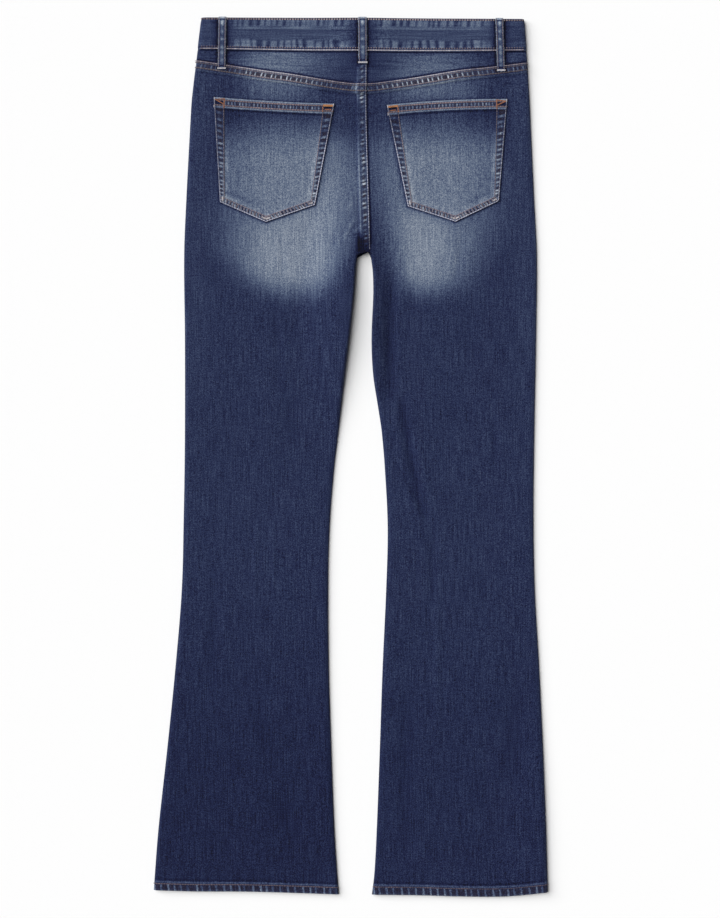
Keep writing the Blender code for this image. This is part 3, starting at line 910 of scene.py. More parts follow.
def fill(target, values):
    """Give a node its inputs, by index or by name: a socket is linked, a plain value is set."""
    for key, value in dict(values).items():
        if isinstance(value, bpy.types.NodeSocket):
            target.id_data.links.new(value, target.inputs[key])
        else:
            target.inputs[key].default_value = value
    return target


def node(tree, kind, values=(), **settings):
    made = tree.nodes.new(kind)
    for key, value in settings.items():
        setattr(made, key, value)
    return fill(made, values)


def maths(tree, operation, a, b=0.0, c=0.0):
    return node(tree, "ShaderNodeMath", enumerate((a, b, c)), operation=operation).outputs[0]


def linear(channel):
    """Linear light from a screen value of 0 to 255."""
    c = channel / 255
    return c / 12.92 if c <= 0.04045 else ((c + 0.055) / 1.055) ** 2.4


LIGHT_LEVEL = 1.18
CLOTH_GLOSS = 0.006


def dyed(red, green, blue):
    """Surface colour of cloth that is to look like this screen colour under the studio light."""
    return tuple(max((linear(c) - CLOTH_GLOSS) / LIGHT_LEVEL, 0.002) for c in (red, green, blue)) + (1.0,)


INDIGO_STEPS = (
    # tone, red, green, blue
    (0.00, 10, 11, 30),
    (0.12, 24, 28, 56),
    (0.19, 34, 39, 69),
    (0.27, 41, 50, 81),
    (0.36, 55, 64, 92),
    (0.50, 73, 85, 113),
    (0.64, 94, 107, 130),
    (0.80, 119, 130, 148),
    (1.00, 150, 159, 172),
    (1.35, 196, 204, 218),
)
TONE_SPAN = 1.35
RUST = (54, 46, 52)  # the dark brown laid in the gaps between the light knots of a seam

# Fineness of the cloth's unevenness along x, y and z, per metre
WARP_GRAIN = (820.0, 27.0, 150.0)
WEFT_GRAIN = (70.0, 700.0, 150.0)
YARN_GRAIN = (1000.0, 900.0, 200.0)
RAGGED_GRAIN = (420.0, 420.0, 200.0)
TWILL_LINES = (5200.0, 3000.0, 0.0)
THREAD_GRAIN = (1500.0, 1500.0, 1500.0)
METAL_GRAIN = (260.0, 260.0, 260.0)


def noise(tree, place, stretch, detail=1.0, roughness=0.5):
    """Noise about zero whose grain has the given fineness along x, y and z, per metre."""
    scaled = node(tree, "ShaderNodeVectorMath", {0: place, 1: stretch}, operation="MULTIPLY")
    values = {"Vector": scaled.outputs[0], "Scale": 1.0, "Detail": detail, "Roughness": roughness}
    return maths(tree, "SUBTRACT", node(tree, "ShaderNodeTexNoise", values).outputs["Fac"], 0.5)


def blend(tree, share, low, high):
    """A mix of two colours by a share that stays between 0 and 1."""
    values = {0: share, 6: low, 7: high}
    return node(tree, "ShaderNodeMix", values, data_type="RGBA", clamp_factor=True).outputs[2]


def attribute(tree, name, output="Fac"):
    return node(tree, "ShaderNodeAttribute", attribute_name=name).outputs[output]


def object_place(tree):
    return node(tree, "ShaderNodeTexCoord").outputs["Object"]


def bumped(tree, height, strength, distance):
    values = {"Height": height, "Strength": strength, "Distance": distance}
    return node(tree, "ShaderNodeBump", values).outputs["Normal"]


def new_group(name, kind, inputs, outputs):
    """A node group with named inputs (name, socket kind, default) and outputs (name, socket kind)."""
    tree = bpy.data.node_groups.new(name, kind)
    for label, socket_kind, default in inputs:
        socket = tree.interface.new_socket(label, in_out="INPUT", socket_type="NodeSocket" + socket_kind)
        if default is not None:
            socket.default_value = default
    for label, socket_kind in outputs:
        tree.interface.new_socket(label, in_out="OUTPUT", socket_type="NodeSocket" + socket_kind)
    return tree, tree.nodes.new("NodeGroupInput").outputs, tree.nodes.new("NodeGroupOutput")


def new_material(name, values):
    """A material, its node tree and its Principled shader, whose inputs take the given values."""
    material = bpy.data.materials.new(name)
    material.use_nodes = True
    return material, material.node_tree, fill(material.node_tree.nodes["Principled BSDF"], values)


def denim_group():
    """Washed denim: warp streaks along y, weft slubs along x, yarn grain and twill."""
    tree, given, result = new_group(
        "washed_denim",
        "ShaderNodeTree",
        (
            ("Place", "Vector", (0.0, 0.0, 0.0)),
            ("Wash", "Float", 0.25),
            ("Rope", "Float", 0.0),
            ("Run", "Float", 0.0),
            ("Breadth", "Float", 0.2),
            ("Streaks", "Float", 1.0),
            ("Slubs", "Float", 1.0),
            ("Grain", "Float", 1.0),
        ),
        (("Colour", "Color"), ("Height", "Float"), ("Dryness", "Float")),
    )

    def times(a, b):
        return maths(tree, "MULTIPLY", a, b)

    def scaled_sum(a, b, c):
        return maths(tree, "MULTIPLY_ADD", a, b, c)

    place, wash, rope, run, breadth = (given[k] for k in range(5))
    streaks, slubs, grain = (
        times(noise(tree, place, stretch), given[strength])
        for stretch, strength in ((WARP_GRAIN, "Streaks"), (WEFT_GRAIN, "Slubs"), (YARN_GRAIN, "Grain"))
    )
    strength = scaled_sum(wash, 0.43, 0.36)
    strength = maths(tree, "ADD", strength, times(rope, 0.5))
    mixed = scaled_sum(slubs, 0.25, times(streaks, 0.72))
    mixed = scaled_sum(grain, 1.65, mixed)
    cells = {"W": run, "Scale": 1.0, "Randomness": 0.35}
    knot = node(tree, "ShaderNodeTexVoronoi", cells, voronoi_dimensions="1D").outputs
    size = node(tree, "ShaderNodeSeparateColor", {0: knot["Color"]}).outputs[0]
    ragged = times(noise(tree, place, RAGGED_GRAIN), breadth)
    off = scaled_sum(ragged, 0.9, knot["Distance"])
    lump_range = {0: off, 1: times(breadth, 0.25), 2: breadth, 3: 1.0, 4: 0.0}
    lump = node(tree, "ShaderNodeMapRange", lump_range, interpolation_type="SMOOTHSTEP").outputs[0]
    light = times(lump, scaled_sum(size, 0.6, 0.65))
    light = times(light, rope)
    tone = maths(tree, "ADD", scaled_sum(mixed, strength, wash), light)
    ramp = node(tree, "ShaderNodeValToRGB", {"Fac": maths(tree, "DIVIDE", tone, TONE_SPAN)})
    steps = ramp.color_ramp.elements
    for at, *colour in INDIGO_STEPS[1:-1]:
        steps.new(at / TONE_SPAN).color = dyed(*colour)
    steps[0].color = dyed(*INDIGO_STEPS[0][1:])
    steps[-1].color = dyed(*INDIGO_STEPS[-1][1:])
    between = times(rope, maths(tree, "SUBTRACT", 1.0, lump))
    rusted = blend(tree, times(between, 0.9), ramp.outputs["Color"], dyed(*RUST))
    lines = node(tree, "ShaderNodeVectorMath", {0: place, 1: TWILL_LINES}, operation="DOT_PRODUCT")
    twill = maths(tree, "SINE", lines.outputs["Value"])
    height = scaled_sum(light, 2.2, scaled_sum(twill, 0.10, mixed))
    dryness = scaled_sum(mixed, 0.2, 0.86)
    fill(result, {"Colour": rusted, "Height": height, "Dryness": dryness})
    return tree


def denim(name, quarter_turn=False, streaks=1.0, slubs=1.0, grain=1.0):
    """A denim finish; a quarter turn lays its warp along x."""
    if name in bpy.data.materials:
        return bpy.data.materials[name]
    gloss = {"Specular IOR Level": 0.12, "Sheen Weight": 0.06, "Sheen Roughness": 0.5}
    material, tree, shader = new_material(name, gloss)
    turn = (0.0, 0.0, math.pi / 2 if quarter_turn else 0.0)
    turned = node(tree, "ShaderNodeMapping", {"Vector": object_place(tree), "Rotation": turn})
    wash = node(tree, "ShaderNodeSeparateXYZ", {0: attribute(tree, "wash", "Vector")}).outputs
    painted = {"Wash": wash[0], "Rope": wash[1], "Run": wash[2], "Breadth": attribute(tree, "breadth")}
    group = bpy.data.node_groups.get("washed_denim") or denim_group()
    weave = node(tree, "ShaderNodeGroup", node_tree=group)
    strengths = {"Streaks": streaks, "Slubs": slubs, "Grain": grain}
    cloth = fill(weave, {"Place": turned.outputs["Vector"], **painted, **strengths}).outputs
    normal = bumped(tree, cloth["Height"], strength=0.35, distance=0.0006)
    fill(shader, {"Base Color": cloth["Colour"], "Roughness": cloth["Dryness"], "Normal": normal})
    return material


THREADS = {
    # name: colour of worn thread and colour of fresh thread
    "thread_cream": ((192, 186, 194), (124, 112, 120)),
    "thread_pale": ((188, 188, 204), (96, 96, 112)),
    "thread_grey": ((176, 178, 198), (84, 86, 104)),
    "thread_brown": ((132, 122, 132), (82, 74, 80)),
    "thread_copper": ((142, 124, 128), (98, 84, 90)),
    "thread_tan": ((172, 156, 156), (104, 88, 90)),
    "thread_orange": ((206, 148, 100), (160, 104, 64)),
    "thread_rust": ((184, 124, 92), (104, 68, 52)),
    "thread_white": ((226, 222, 224), (170, 164, 172)),
}


def thread(name):
    """Sewing thread: its colour follows the wear along the row and each stitch, with a fine twist."""
    if name in bpy.data.materials:
        return bpy.data.materials[name]
    worn_colour, fresh_colour = THREADS[name]
    gloss = {"Roughness": 0.62, "Specular IOR Level": 0.25, "Sheen Weight": 0.1}
    material, tree, shader = new_material(name, gloss)
    twist = noise(tree, object_place(tree), THREAD_GRAIN)
    each = maths(tree, "SUBTRACT", attribute(tree, "tint"), 0.5)
    uneven = maths(tree, "MULTIPLY_ADD", each, 0.6, attribute(tree, "worn"))
    share = maths(tree, "MULTIPLY_ADD", twist, 0.6, uneven)
    colour = blend(tree, share, dyed(*fresh_colour), dyed(*worn_colour))
    normal = bumped(tree, twist, strength=0.3, distance=0.0002)
    fill(shader, {"Base Color": colour, "Normal": normal})
    return material


# ---------------------------------------------------------------- sewing with Geometry Nodes

WOBBLE = 0.10


def sewing_tree():
    """Stitches laid along a path: each is a short thread, turned to the path and a little uneven."""
    tree, given, result = new_group(
        "sewn_row",
        "GeometryNodeTree",
        (
            ("Path", "Geometry", None),
            ("Pitch", "Float", 0.0032),
            ("Stitch Length", "Float", 0.003),
            ("Thread Width", "Float", 0.0009),
            ("Thread Height", "Float", 0.0007),
            ("Slant", "Float", 0.0),
            ("Seed", "Int", 1),
            ("Thread", "Material", None),
        ),
        (("Stitches", "Geometry"),),
    )

    def step(kind, values=(), **settings):
        return node(tree, kind, values, **settings).outputs

    path = step("GeometryNodeMeshToCurve", {"Mesh": given["Path"]})
    spaced = {"Curve": path["Curve"], "Length": given["Pitch"]}
    places = step("GeometryNodeResampleCurve", spaced, mode="LENGTH")
    bead = step("GeometryNodeMeshUVSphere", {"Segments": 6, "Rings": 4, "Radius": 0.5})
    sides = {"X": given["Stitch Length"], "Y": given["Thread Width"], "Z": given["Thread Height"]}
    size = step("ShaderNodeCombineXYZ", sides)
    stitch = step("GeometryNodeTransform", {"Geometry": bead["Mesh"], "Scale": size["Vector"]})
    tangent = step("GeometryNodeInputTangent")
    along = step("FunctionNodeAlignRotationToVector", {"Vector": tangent["Tangent"]}, axis="X")
    swing = {0: (0.0, 0.0, -WOBBLE), 1: (0.0, 0.0, WOBBLE), "Seed": given["Seed"]}
    wobble = step("FunctionNodeRandomValue", swing, data_type="FLOAT_VECTOR")
    slant = step("ShaderNodeCombineXYZ", {"Z": given["Slant"]})
    lean = step("ShaderNodeVectorMath", {0: slant["Vector"], 1: wobble["Value"]}, operation="ADD")
    euler = step("FunctionNodeEulerToRotation", {"Euler": lean["Vector"]})
    turn = {"Rotation": along["Rotation"], "Rotate By": euler["Rotation"]}
    turned = step("FunctionNodeRotateRotation", turn, rotation_space="LOCAL")
    each = {"Points": places["Curve"], "Instance": stitch["Geometry"], "Rotation": turned["Rotation"]}
    laid = step("GeometryNodeInstanceOnPoints", each)
    tint = step("FunctionNodeRandomValue", {"Seed": given["Seed"]}, data_type="FLOAT")
    tinted = {"Geometry": laid["Instances"], "Name": "tint", "Value": tint[1]}
    named = step("GeometryNodeStoreNamedAttribute", tinted, data_type="FLOAT", domain="INSTANCE")
    solid = step("GeometryNodeRealizeInstances", {"Geometry": named["Geometry"]})
    rounded = step("GeometryNodeSetShadeSmooth", {"Geometry": solid["Geometry"]})
    finish = step("GeometryNodeSetMaterial", {"Geometry": rounded["Geometry"], "Material": given["Thread"]})
    fill(result, {"Stitches": finish["Geometry"]})
    return tree


def sew(name, paths, values):
    """One plain mesh of stitches along all the paths: arrays of points in millimetres, with their wear."""
    points, edges = [], []
    for path in paths:
        first = sum(len(done) for done in points)
        points.append(path if path.shape[1] == 4 else np.column_stack([path, np.full(len(path), 0.5)]))
        edges += [(first + k, first + k + 1) for k in range(len(path) - 1)]
    guide = bpy.data.meshes.new(name + "_guide")
    points = np.concatenate(points)
    guide.from_pydata((points[:, :3] * MM).tolist(), edges, [])
    paint_points(guide, "worn", "FLOAT", "value", points[:, 3])
    rows = placed(name + "_guide", guide)
    sewing = rows.modifiers.new("sewing", "NODES")
    sewing.node_group = bpy.data.node_groups.get("sewn_row") or sewing_tree()
    for item in sewing.node_group.interface.items_tree:
        if item.name in values:
            sewing[item.identifier] = values[item.name]
    graph = bpy.context.evaluated_depsgraph_get()
    mesh = bpy.data.meshes.new_from_object(rows.evaluated_get(graph))
    if not mesh.polygons:
        raise RuntimeError(f"{name} has no stitches")
    bpy.data.objects.remove(rows, do_unlink=True)
    mesh.name = name
    return dress(placed(name, mesh), None)


# ---------------------------------------------------------------- cloth pieces

SIDE, FLAT, INSIDE = 0, 1, 2
CURL_TURNS = np.radians(np.linspace(0, 90, 10))
FAR = 99.0
RIM_SOFT = 0.6
RIM_CUT_OUTER = 0.40
RIM_CUT_INNER = 0.30


def places_across(width, fine, coarse, reach):
    """Places across a panel: share of the flat part, turn round a curled edge, and which edge."""
    run = width - 2 * EDGE_CURL
    shares = graded(0.0, run, (0.0, run), fine, coarse, reach)[1:-1] / run
    share = np.concatenate([CURL_TURNS * 0, shares, CURL_TURNS * 0 + 1])
    turn = np.concatenate([CURL_TURNS, shares * 0 + math.pi / 2, CURL_TURNS[::-1]])
    kind = np.concatenate([CURL_TURNS * 0 + SIDE, shares * 0 + FLAT, CURL_TURNS * 0 + INSIDE])
    return share, turn, kind


def panel_faces(leg, face, y, places, edges, sink=0.0, wall=DENIM):
    """Outer and inner face of a panel at heights y, one column for each place across it."""
    share, turn, kind = places
    inward = inward_of(leg)
    x_side, x_inside = edges(leg, y)
    curl = np.where(kind == SIDE, 1.0, np.where(kind == INSIDE, inside_curl(y), 0.0))
    reach = np.where(kind == INSIDE, inside_reach(y), EDGE_CURL)
    inset = reach * (1 - np.cos(turn))
    inner_inset = inset + curl * wall * np.cos(turn)
    low, high = x_side + inward * EDGE_CURL, x_inside - inward * inside_reach(y)
    flat = low + (high - low) * share
    at_edge = [kind == SIDE, kind == INSIDE]
    x_outer, x_inner = (
        np.select(at_edge, [x_side + inward * inside, x_inside - inward * inside], flat)
        for inside in (inset, inner_inset)
    )
    base, top = front_base(x_outer, y), back_top(x_outer, y)
    half = (top - base - SEAM_GAP) / 2
    down = curl * (1 - np.sin(turn))
    z_outer = top - down * half if face == "back" else base + sink + down * (half - sink)
    thick = (-1 if face == "back" else 1) * wall * (1 - down)
    return x_outer, x_inner, z_outer, z_outer + thick, 1 - down


def panel_grid(leg, face, rows, places, reaches, bottom, top, edges, sink=0.0, wall=DENIM):
    """A panel's heights and faces: rows near its top and its bottom take the slope of that edge."""
    y_row = rows[:, None] + 0.0 * places[0][None, :]
    follow_top = smooth(1 - (rows[-1] - y_row) / reaches[0])
    follow_low = smooth(1 - (y_row - rows[0]) / reaches[1])
    y = y_row
    for _ in range(3):
        x = panel_faces(leg, face, y, places, edges, sink, wall)[0]
        y = y_row + (top(x) - rows[-1]) * follow_top + (bottom(x) - rows[0]) * follow_low
    return y, panel_faces(leg, face, y, places, edges, sink, wall)


def half_edges(leg, y):
    return side_x(leg, y), lapped_inside_x(leg, y, CENTRE_SEAM_HALF)


def front_edges(leg, y):
    return side_x(leg, y), lapped_inside_x(leg, y, 4.0)


def facing_edges(leg, y):
    side = side_x(leg, y)
    return side, side + inward_of(leg) * (SCOOP_WIDTH + FACING_LAP)


def worked(y, sheet, relief=0.0, rims=(), sign=1):
    """Outer and inner grids of a panel with its relief, less the square corner of its free edges.

    Each of the rims holds every point's distance from one free edge.
    """
    x, x_in, z, z_in, lift = sheet
    z, z_in = z + relief * lift, z_in + relief * lift
    for distance in rims:
        edge = bell(distance, RIM_SOFT)
        z, z_in = z - sign * RIM_CUT_OUTER * edge, z_in + sign * RIM_CUT_INNER * edge
    return stacked(x, y, z), stacked(x_in, y, z_in)


def two_gradings(low, join, high, low_steps, high_steps):
    """Rows graded one way below the join and another above it: steps are marks, fine, coarse, reach."""
    rows = graded(low, high, *low_steps)
    return np.unique(np.concatenate([rows[rows < join], graded(join, high, *high_steps)]))


def build_back_panel(leg, settings):
    low, high = HEM_Y, YOKE_POINT_Y + YOKE_SEAM_HALF
    leg_steps = ((low + 5.0, high - 4.0), 0.95, settings.leg_step, 9.0)
    rows = two_gradings(low, 190.0, high, leg_steps, ((high - 4.0,), 0.9, 2.0, 8.0))
    places = places_across(232.0, fine=1.15, coarse=2.5, reach=8.0)
    y, sheet = panel_grid(
        leg, "back", rows, places, (150.0, 60.0),
        lambda at: hem_y(leg, at), lambda at: yoke_seam_y(at) + YOKE_SEAM_HALF, half_edges,
    )
    x = sheet[0]
    relief = back_relief(x, y) + back_rise(leg, "back", x, y) + hem_rise(leg, x, y)
    rims = [yoke_seam_y(x) + YOKE_SEAM_HALF - y, y - hem_y(leg, x)]
    if leg == "left":
        rims.append(np.where(y > FORK_Y + 4, centre_x(y) + CENTRE_SEAM_HALF - x, FAR))
    return lay(
        f"back_panel_{leg}", f"back_{leg}", "leg_denim", *worked(y, sheet, relief, rims),
        panel_tone(leg, x, y), denim("washed_leg_denim"), (f"front_panel_{leg}",),
    )


def build_yoke(leg):
    low, high = YOKE_POINT_Y + 16.0, PANEL_TOP_Y
    rows = graded(low, high, (low + 5.5, high - 1.0), fine=0.85, coarse=1.9, reach=4.0)
    places = places_across(218.0, fine=1.15, coarse=2.0, reach=8.0)
    y, sheet = panel_grid(
        leg, "back", rows, places, (31.0, 31.0),
        lambda at: yoke_seam_y(at) + SEAM_GAP / 2, lambda at: band_seam_y(at) - SEAM_GAP / 2, half_edges,
    )
    x = sheet[0]
    relief = back_relief(x, y) + back_rise(leg, "yoke", x, y)
    rims = [centre_x(y) + CENTRE_SEAM_HALF - x] if leg == "left" else []
    return lay(
        f"back_yoke_{leg}", f"yoke_{leg}", "yoke_denim", *worked(y, sheet, relief, rims),
        panel_tone(leg, x, y), denim("washed_yoke_denim", quarter_turn=True), (f"front_panel_{leg}",),
    )


def pocket_allowance(foot, climb):
    """Depth of the inner row of stitches; climb is the share of the side above the low corner."""
    return 6.9 + 0.0 * climb if foot else 5.8 + 7.2 * np.clip(climb, 0.0, 1.0) ** 1.1


# Which way each lower edge of a pocket runs, in order from the upper right corner
POCKET_LANES = ("down", "foot", "foot", "up")


def pocket_zones(leg, x, y):
    """For each lower edge: depth inside it, place along it, the inner row's depth, and its kind."""
    top, *lower = pocket_depths(leg, x, y)
    zones = []
    for (depth, along, length), kind in zip(lower, POCKET_LANES):
        climb = 1 - along / length if kind == "down" else along / length
        zones.append((depth, along, pocket_allowance(kind == "foot", climb), kind))
    return top[0], zones


def pocket_relief(leg, x, y):
    """Height of the pocket's outer face above the panel."""
    hem, zones = pocket_zones(leg, x, y)
    height = DENIM + 0.15 + 0.0 * x
    folded = np.zeros_like(x)
    for depth, along, inner, kind in zones:
        band = smooth((inner + 1.2 - depth) / 1.6)
        folded = np.maximum(folded, band)
        seam_knots = (POCKET_FOOT_KNOTS if kind == "foot" else POCKET_KNOTS)(along + 0.3 * depth)
        height = height + 0.45 * (seam_knots - 0.35) * bell(depth - 0.5 * inner, 0.45 * inner)
        height = height - 0.35 * bell(depth, 0.5) * smooth((hem - 1.0) / 2.0)
    folded = np.maximum(folded, 1.5 * smooth((POCKET_HEM + 0.5 - hem) / 1.0))
    return height + 0.62 * folded - 0.4 * bell(hem, 0.6)


def pocket_corners(leg, x, y, hem):
    """Dark patches at the two ends of a pocket's hem: the outer one, then the inner one."""
    length = pocket_edges(leg)[0][3]
    run = pocket_depths(leg, x, y)[0][1]
    outer_run, inner_run = (run, length - run) if leg == "left" else (length - run, run)
    outer = smooth((15.0 - outer_run) / 2.0) * smooth((outer_run - 1.6) / 1.0) * smooth((hem - 1.8) / 1.0)
    inner = smooth((14.0 - inner_run) / 1.2) * smooth((inner_run - 2.0) / 1.0) * smooth((hem - 3.6) / 0.8)
    return outer * smooth((10.8 - hem) / 1.5), inner * smooth((10.0 - hem) / 1.0)


def pocket_tone(leg, x, y):
    """Wash of a back pocket: knotted bands down its sides and foot, and a hem with two worn edges."""
    hem, zones = pocket_zones(leg, x, y)
    ys, levels = zip(*reversed(POCKET_FADE))
    outward = (np.array(BACK_POCKETS[leg]).mean(axis=0)[0] - x) * inward_of(leg)
    tone = np.interp(y, ys, levels) - 0.19 * smooth((outward + 10.0) / 90.0) * smooth((y - 290.0) / 60.0)
    rope, place, nearest = 0.0 * x, 0.0 * x, 0.0 * x + FAR
    low = smooth((436.0 - y) / 90.0)
    for k, (depth, along, inner, kind) in enumerate(zones):
        blotch = 0.7 + 0.3 * np.sin(along / 2.9 + 2.0 * np.sin(along / 11.0))
        seam = 0.95 * smooth((inner + 0.6 - depth) / 1.2)
        if kind == "foot":
            tone = toward(tone, 0.76, 0.85 * blotch * bell(depth - inner - 3.0, 4.0))
            tone = tone - 0.12 * bell(depth - 15.0, 3.0) * smooth((outward - 4.0) / 24.0)
            tone = toward(tone, 0.27, seam)
            strength, step = 0.74, (along - 0.4 * depth) / 4.2
        else:
            tone = tone + 0.27 * low * blotch * bell(depth - inner - 3.0, 2.6)
            row = (0.34 + 0.3 * low, 0.6 * bell(depth - inner + 1.2, 0.9))
            tone = coated(tone, (0.16 + 0.18 * low, seam), row)
            ahead = (along if kind == "down" else POCKET_SIDE - along) - 0.3 * depth
            strength, step = 0.52 + 0.20 * low, ahead / 9.5 + ahead * ahead / 2600.0
        tone = coated(
            tone,
            # the pocket's worn edge, unfaded cloth with painted shade in the outer row's groove, the shadow
            # round the edge
            (0.80, 0.8 * bell(depth - 0.6, 0.8)),
            (0.12, 0.6 * bell(depth - 2.7, 0.6)),
            (0.30, 0.7 * bell(depth + 0.1, 0.35)),
        )
        mine = depth / inner < nearest
        across = bell(depth - (0.52 + 0.06 * np.sin(along / 3.7)) * inner, 0.34 * inner)
        nearest = np.where(mine, depth / inner, nearest)
        rope = np.where(mine, strength * (0.4 + 0.6 * blotch) * across, rope)
        place = np.where(mine, step + 40.0 * k, place)
    outer_patch, inner_patch = pocket_corners(leg, x, y, hem)
    hem_tone = coated(
        0.26,
        # the top edge, the hem's lower edge, then the patches at its two ends
        (0.90, 0.92 * bell(hem - 1.0, 1.2)),
        (0.88, 0.92 * bell(hem - POCKET_HEM + 1.2, 1.2)),
        (0.06, 0.75 * outer_patch),
        (0.0, 0.9 * inner_patch * smooth((7.0 - hem) / 0.8)),
        (0.34, 0.7 * inner_patch * smooth((hem - 7.0) / 0.8)),
    )
    on_hem = smooth((POCKET_HEM - hem) / 0.8)
    clear = (1 - outer_patch) * (1 - inner_patch)
    rope = toward(rope, 0.5 * bell(hem - 0.5 * POCKET_HEM, 2.2) * clear, on_hem)
    place = np.where(on_hem > 0.5, x / 4.6 + 400.0, place)
    # below the hem's lower fold, a painted shadow line
    tone = coated(tone, (hem_tone, on_hem), (0.06, 0.9 * bell(hem - POCKET_HEM - 1.4, 1.2)))
    return washed(tone - 0.04 * bell(hem - POCKET_HEM - 5.0, 5.0), rope, place, 0.34)


# Insets of the pocket's rings, close together where its bands and rows of stitches lie
POCKET_RINGS = (
    0.0, 0.45, 1.0, 1.7, 2.5, 3.4, 4.4, 5.4, 6.4,
    7.4, 8.5, 9.6, 10.7, 11.8, 12.6, 13.5, 14.8, 16.4,
)


def pocket_rings(edges):
    """Rings of places from the pocket's outline inwards, in plan."""
    corners = np.array([edge[0] for edge in edges])
    into = [edge[2] for edge in edges]
    turn_in = np.array([(into[k - 1] + into[k]) / (1 + into[k - 1] @ into[k]) for k in range(len(edges))])
    rings = []
    for inset in POCKET_RINGS:
        moved = corners + inset * turn_in
        ring = []
        for edge, start, end in zip(edges, moved, np.roll(moved, -1, axis=0)):
            count = int(edge[3] / 1.5)
            ring.append(start + (end - start) * (np.arange(count)[:, None] / count))
        rings.append(np.concatenate(ring))
    last = rings[-1]
    middle = last.mean(axis=0)
    return np.array(rings + [middle + (last - middle) * share for share in np.linspace(1.0, 0.0, 27)[1:-1]])


def build_back_pocket(leg):
    edges = pocket_edges(leg)
    plan = pocket_rings(edges)
    start, along, into, length = edges[0]
    from_top, run = (plan - start) @ into, (plan - start) @ along
    bow = pocket_bow(leg, run / length) * smooth(1 - from_top / 50.0)
    x, y = plan[..., 0] - into[0] * bow, plan[..., 1] - into[1] * bow
    floor = back_top(x, y) + back_relief(x, y)
    z = floor + pocket_relief(leg, x, y)
    outer, inner = stacked(x, y, z), stacked(x, y, np.minimum(floor + 0.12, z - 0.25))
    points = [face.reshape(-1, 3) for face in (outer, inner)]
    points += [face[-1].mean(axis=0)[None] for face in (outer, inner)]
    index = np.arange(x.size).reshape(x.shape)
    index = np.concatenate([index, index[:, :1]], axis=1)
    quads, fans = [], []
    for layer, way in ((0, 1), (1, -1)):
        at = index + layer * x.size
        pole = np.full(at.shape[1] - 1, 2 * x.size + layer)
        quads.append(grid_faces(at[:-1, :-1], at[:-1, 1:], at[1:, 1:], at[1:, :-1])[:, ::way])
        fans.append(grid_faces(at[-1, :-1], at[-1, 1:], pole)[:, ::way])
    rim = index[0]
    quads.append(grid_faces(rim[:-1], rim[:-1] + x.size, rim[1:] + x.size, rim[1:]))
    tone = pocket_tone(leg, x, y).reshape(-1, 4)
    piece = solid_from(
        f"seat_pocket_{leg}", np.concatenate(points), [np.concatenate(quads), np.concatenate(fans)],
        np.concatenate([tone, tone, tone[-1:], tone[-1:]]),
        denim("washed_pocket_denim", streaks=0.9, slubs=0.9, grain=1.05),
    )
    dress(piece, f"back_pocket_{leg}")
    corners = np.array(BACK_POCKETS[leg]) * MM
    (width, length), following = np.ptp(corners, axis=0), np.roll(corners, -1, axis=0)
    return piece


FRONT_RAISE = 0.3
FRONT_WALL = 1.0
FRONT_SEAM_HALF = 4.0
FACING_FOOT_Y = 443.0
PANEL_TOP_Y = 515.0


def front_relief(x, y):
    """Creases on the front press inwards only, because it lies on the table."""
    return np.maximum(-crease_height(FRONT_CREASES, x, y)[0], 0.0) + 0.4 * (drift(x, y) + 0.4)


def front_sink(leg, x, y):
    """The right front steps in beneath the left one along the centre seam and the fly."""
    if leg == "left":
        return 0.0 * x
    return 1.3 * smooth((FRONT_SEAM_HALF + 4.0 - centre_line(x, y)) / 3.0) * centre_fade_in(y)


def build_front_panel(leg, settings):
    low, high = HEM_Y, 495.0
    leg_steps = ((low + 5.0,), 1.0, 1.6 * settings.leg_step, 9.0)
    rows = two_gradings(low, 330.0, high, leg_steps, ((high - 2.0,), 1.0, 3.0, 10.0))
    places = places_across(232.0, fine=1.3, coarse=3.4, reach=8.0)
    y, sheet = panel_grid(
        leg, "front", rows, places, (150.0, 60.0),
        lambda at: hem_y(leg, at), lambda at: scoop_y(leg, at) - SEAM_GAP / 2, front_edges,
        sink=FRONT_RAISE, wall=FRONT_WALL,
    )
    x = sheet[0]
    relief = front_relief(x, y) + front_sink(leg, x, y)
    rims = (scoop_y(leg, x) - y, y - hem_y(leg, x))
    return lay(
        f"front_panel_{leg}", f"front_{leg}", "front_denim", *worked(y, sheet, relief, rims, -1),
        front_tone(leg, x, y), denim("washed_front_denim"), ("floor",),
    )


def facing_foot_y(leg, x):
    away = np.abs(x - side_x(leg, FACING_FOOT_Y))
    at_edge = scoop_y(leg, x) + 2 * SEAM_GAP
    corner = scoop_y(leg, x - inward_of(leg) * (away - EDGE_CURL)) + SEAM_GAP
    behind = corner - FACING_LAP * smooth((away - EDGE_CURL) / FACING_LAP)
    return np.where(away <= EDGE_CURL, at_edge, behind)


def build_pocket_facing(leg):
    rows = graded(FACING_FOOT_Y, PANEL_TOP_Y, (FACING_FOOT_Y, PANEL_TOP_Y), fine=1.6, coarse=3.0, reach=6.0)
    places = places_across(110.0, fine=1.6, coarse=3.0, reach=6.0)
    y, sheet = panel_grid(
        leg, "front", rows, places, (72.0, 72.0),
        lambda at: facing_foot_y(leg, at), lambda at: band_seam_y(at, "front") - SEAM_GAP / 2, facing_edges,
        sink=DENIM + SEAM_GAP + 0.15,
    )
    x = sheet[0]
    tone = 0.30 + 0.06 * np.sin(x / 9.0) * np.sin(y / 13.0)
    tone = toward(tone, 0.16, 0.7 * bell(scoop_y(leg, x) - y + 1.5, 3.0))
    return lay(
        f"front_pocket_facing_{leg}", f"pocket_facing_{leg}", "leg_denim", *worked(y, sheet),
        washed(tone), denim("washed_leg_denim"), (f"front_panel_{leg}",),
    )


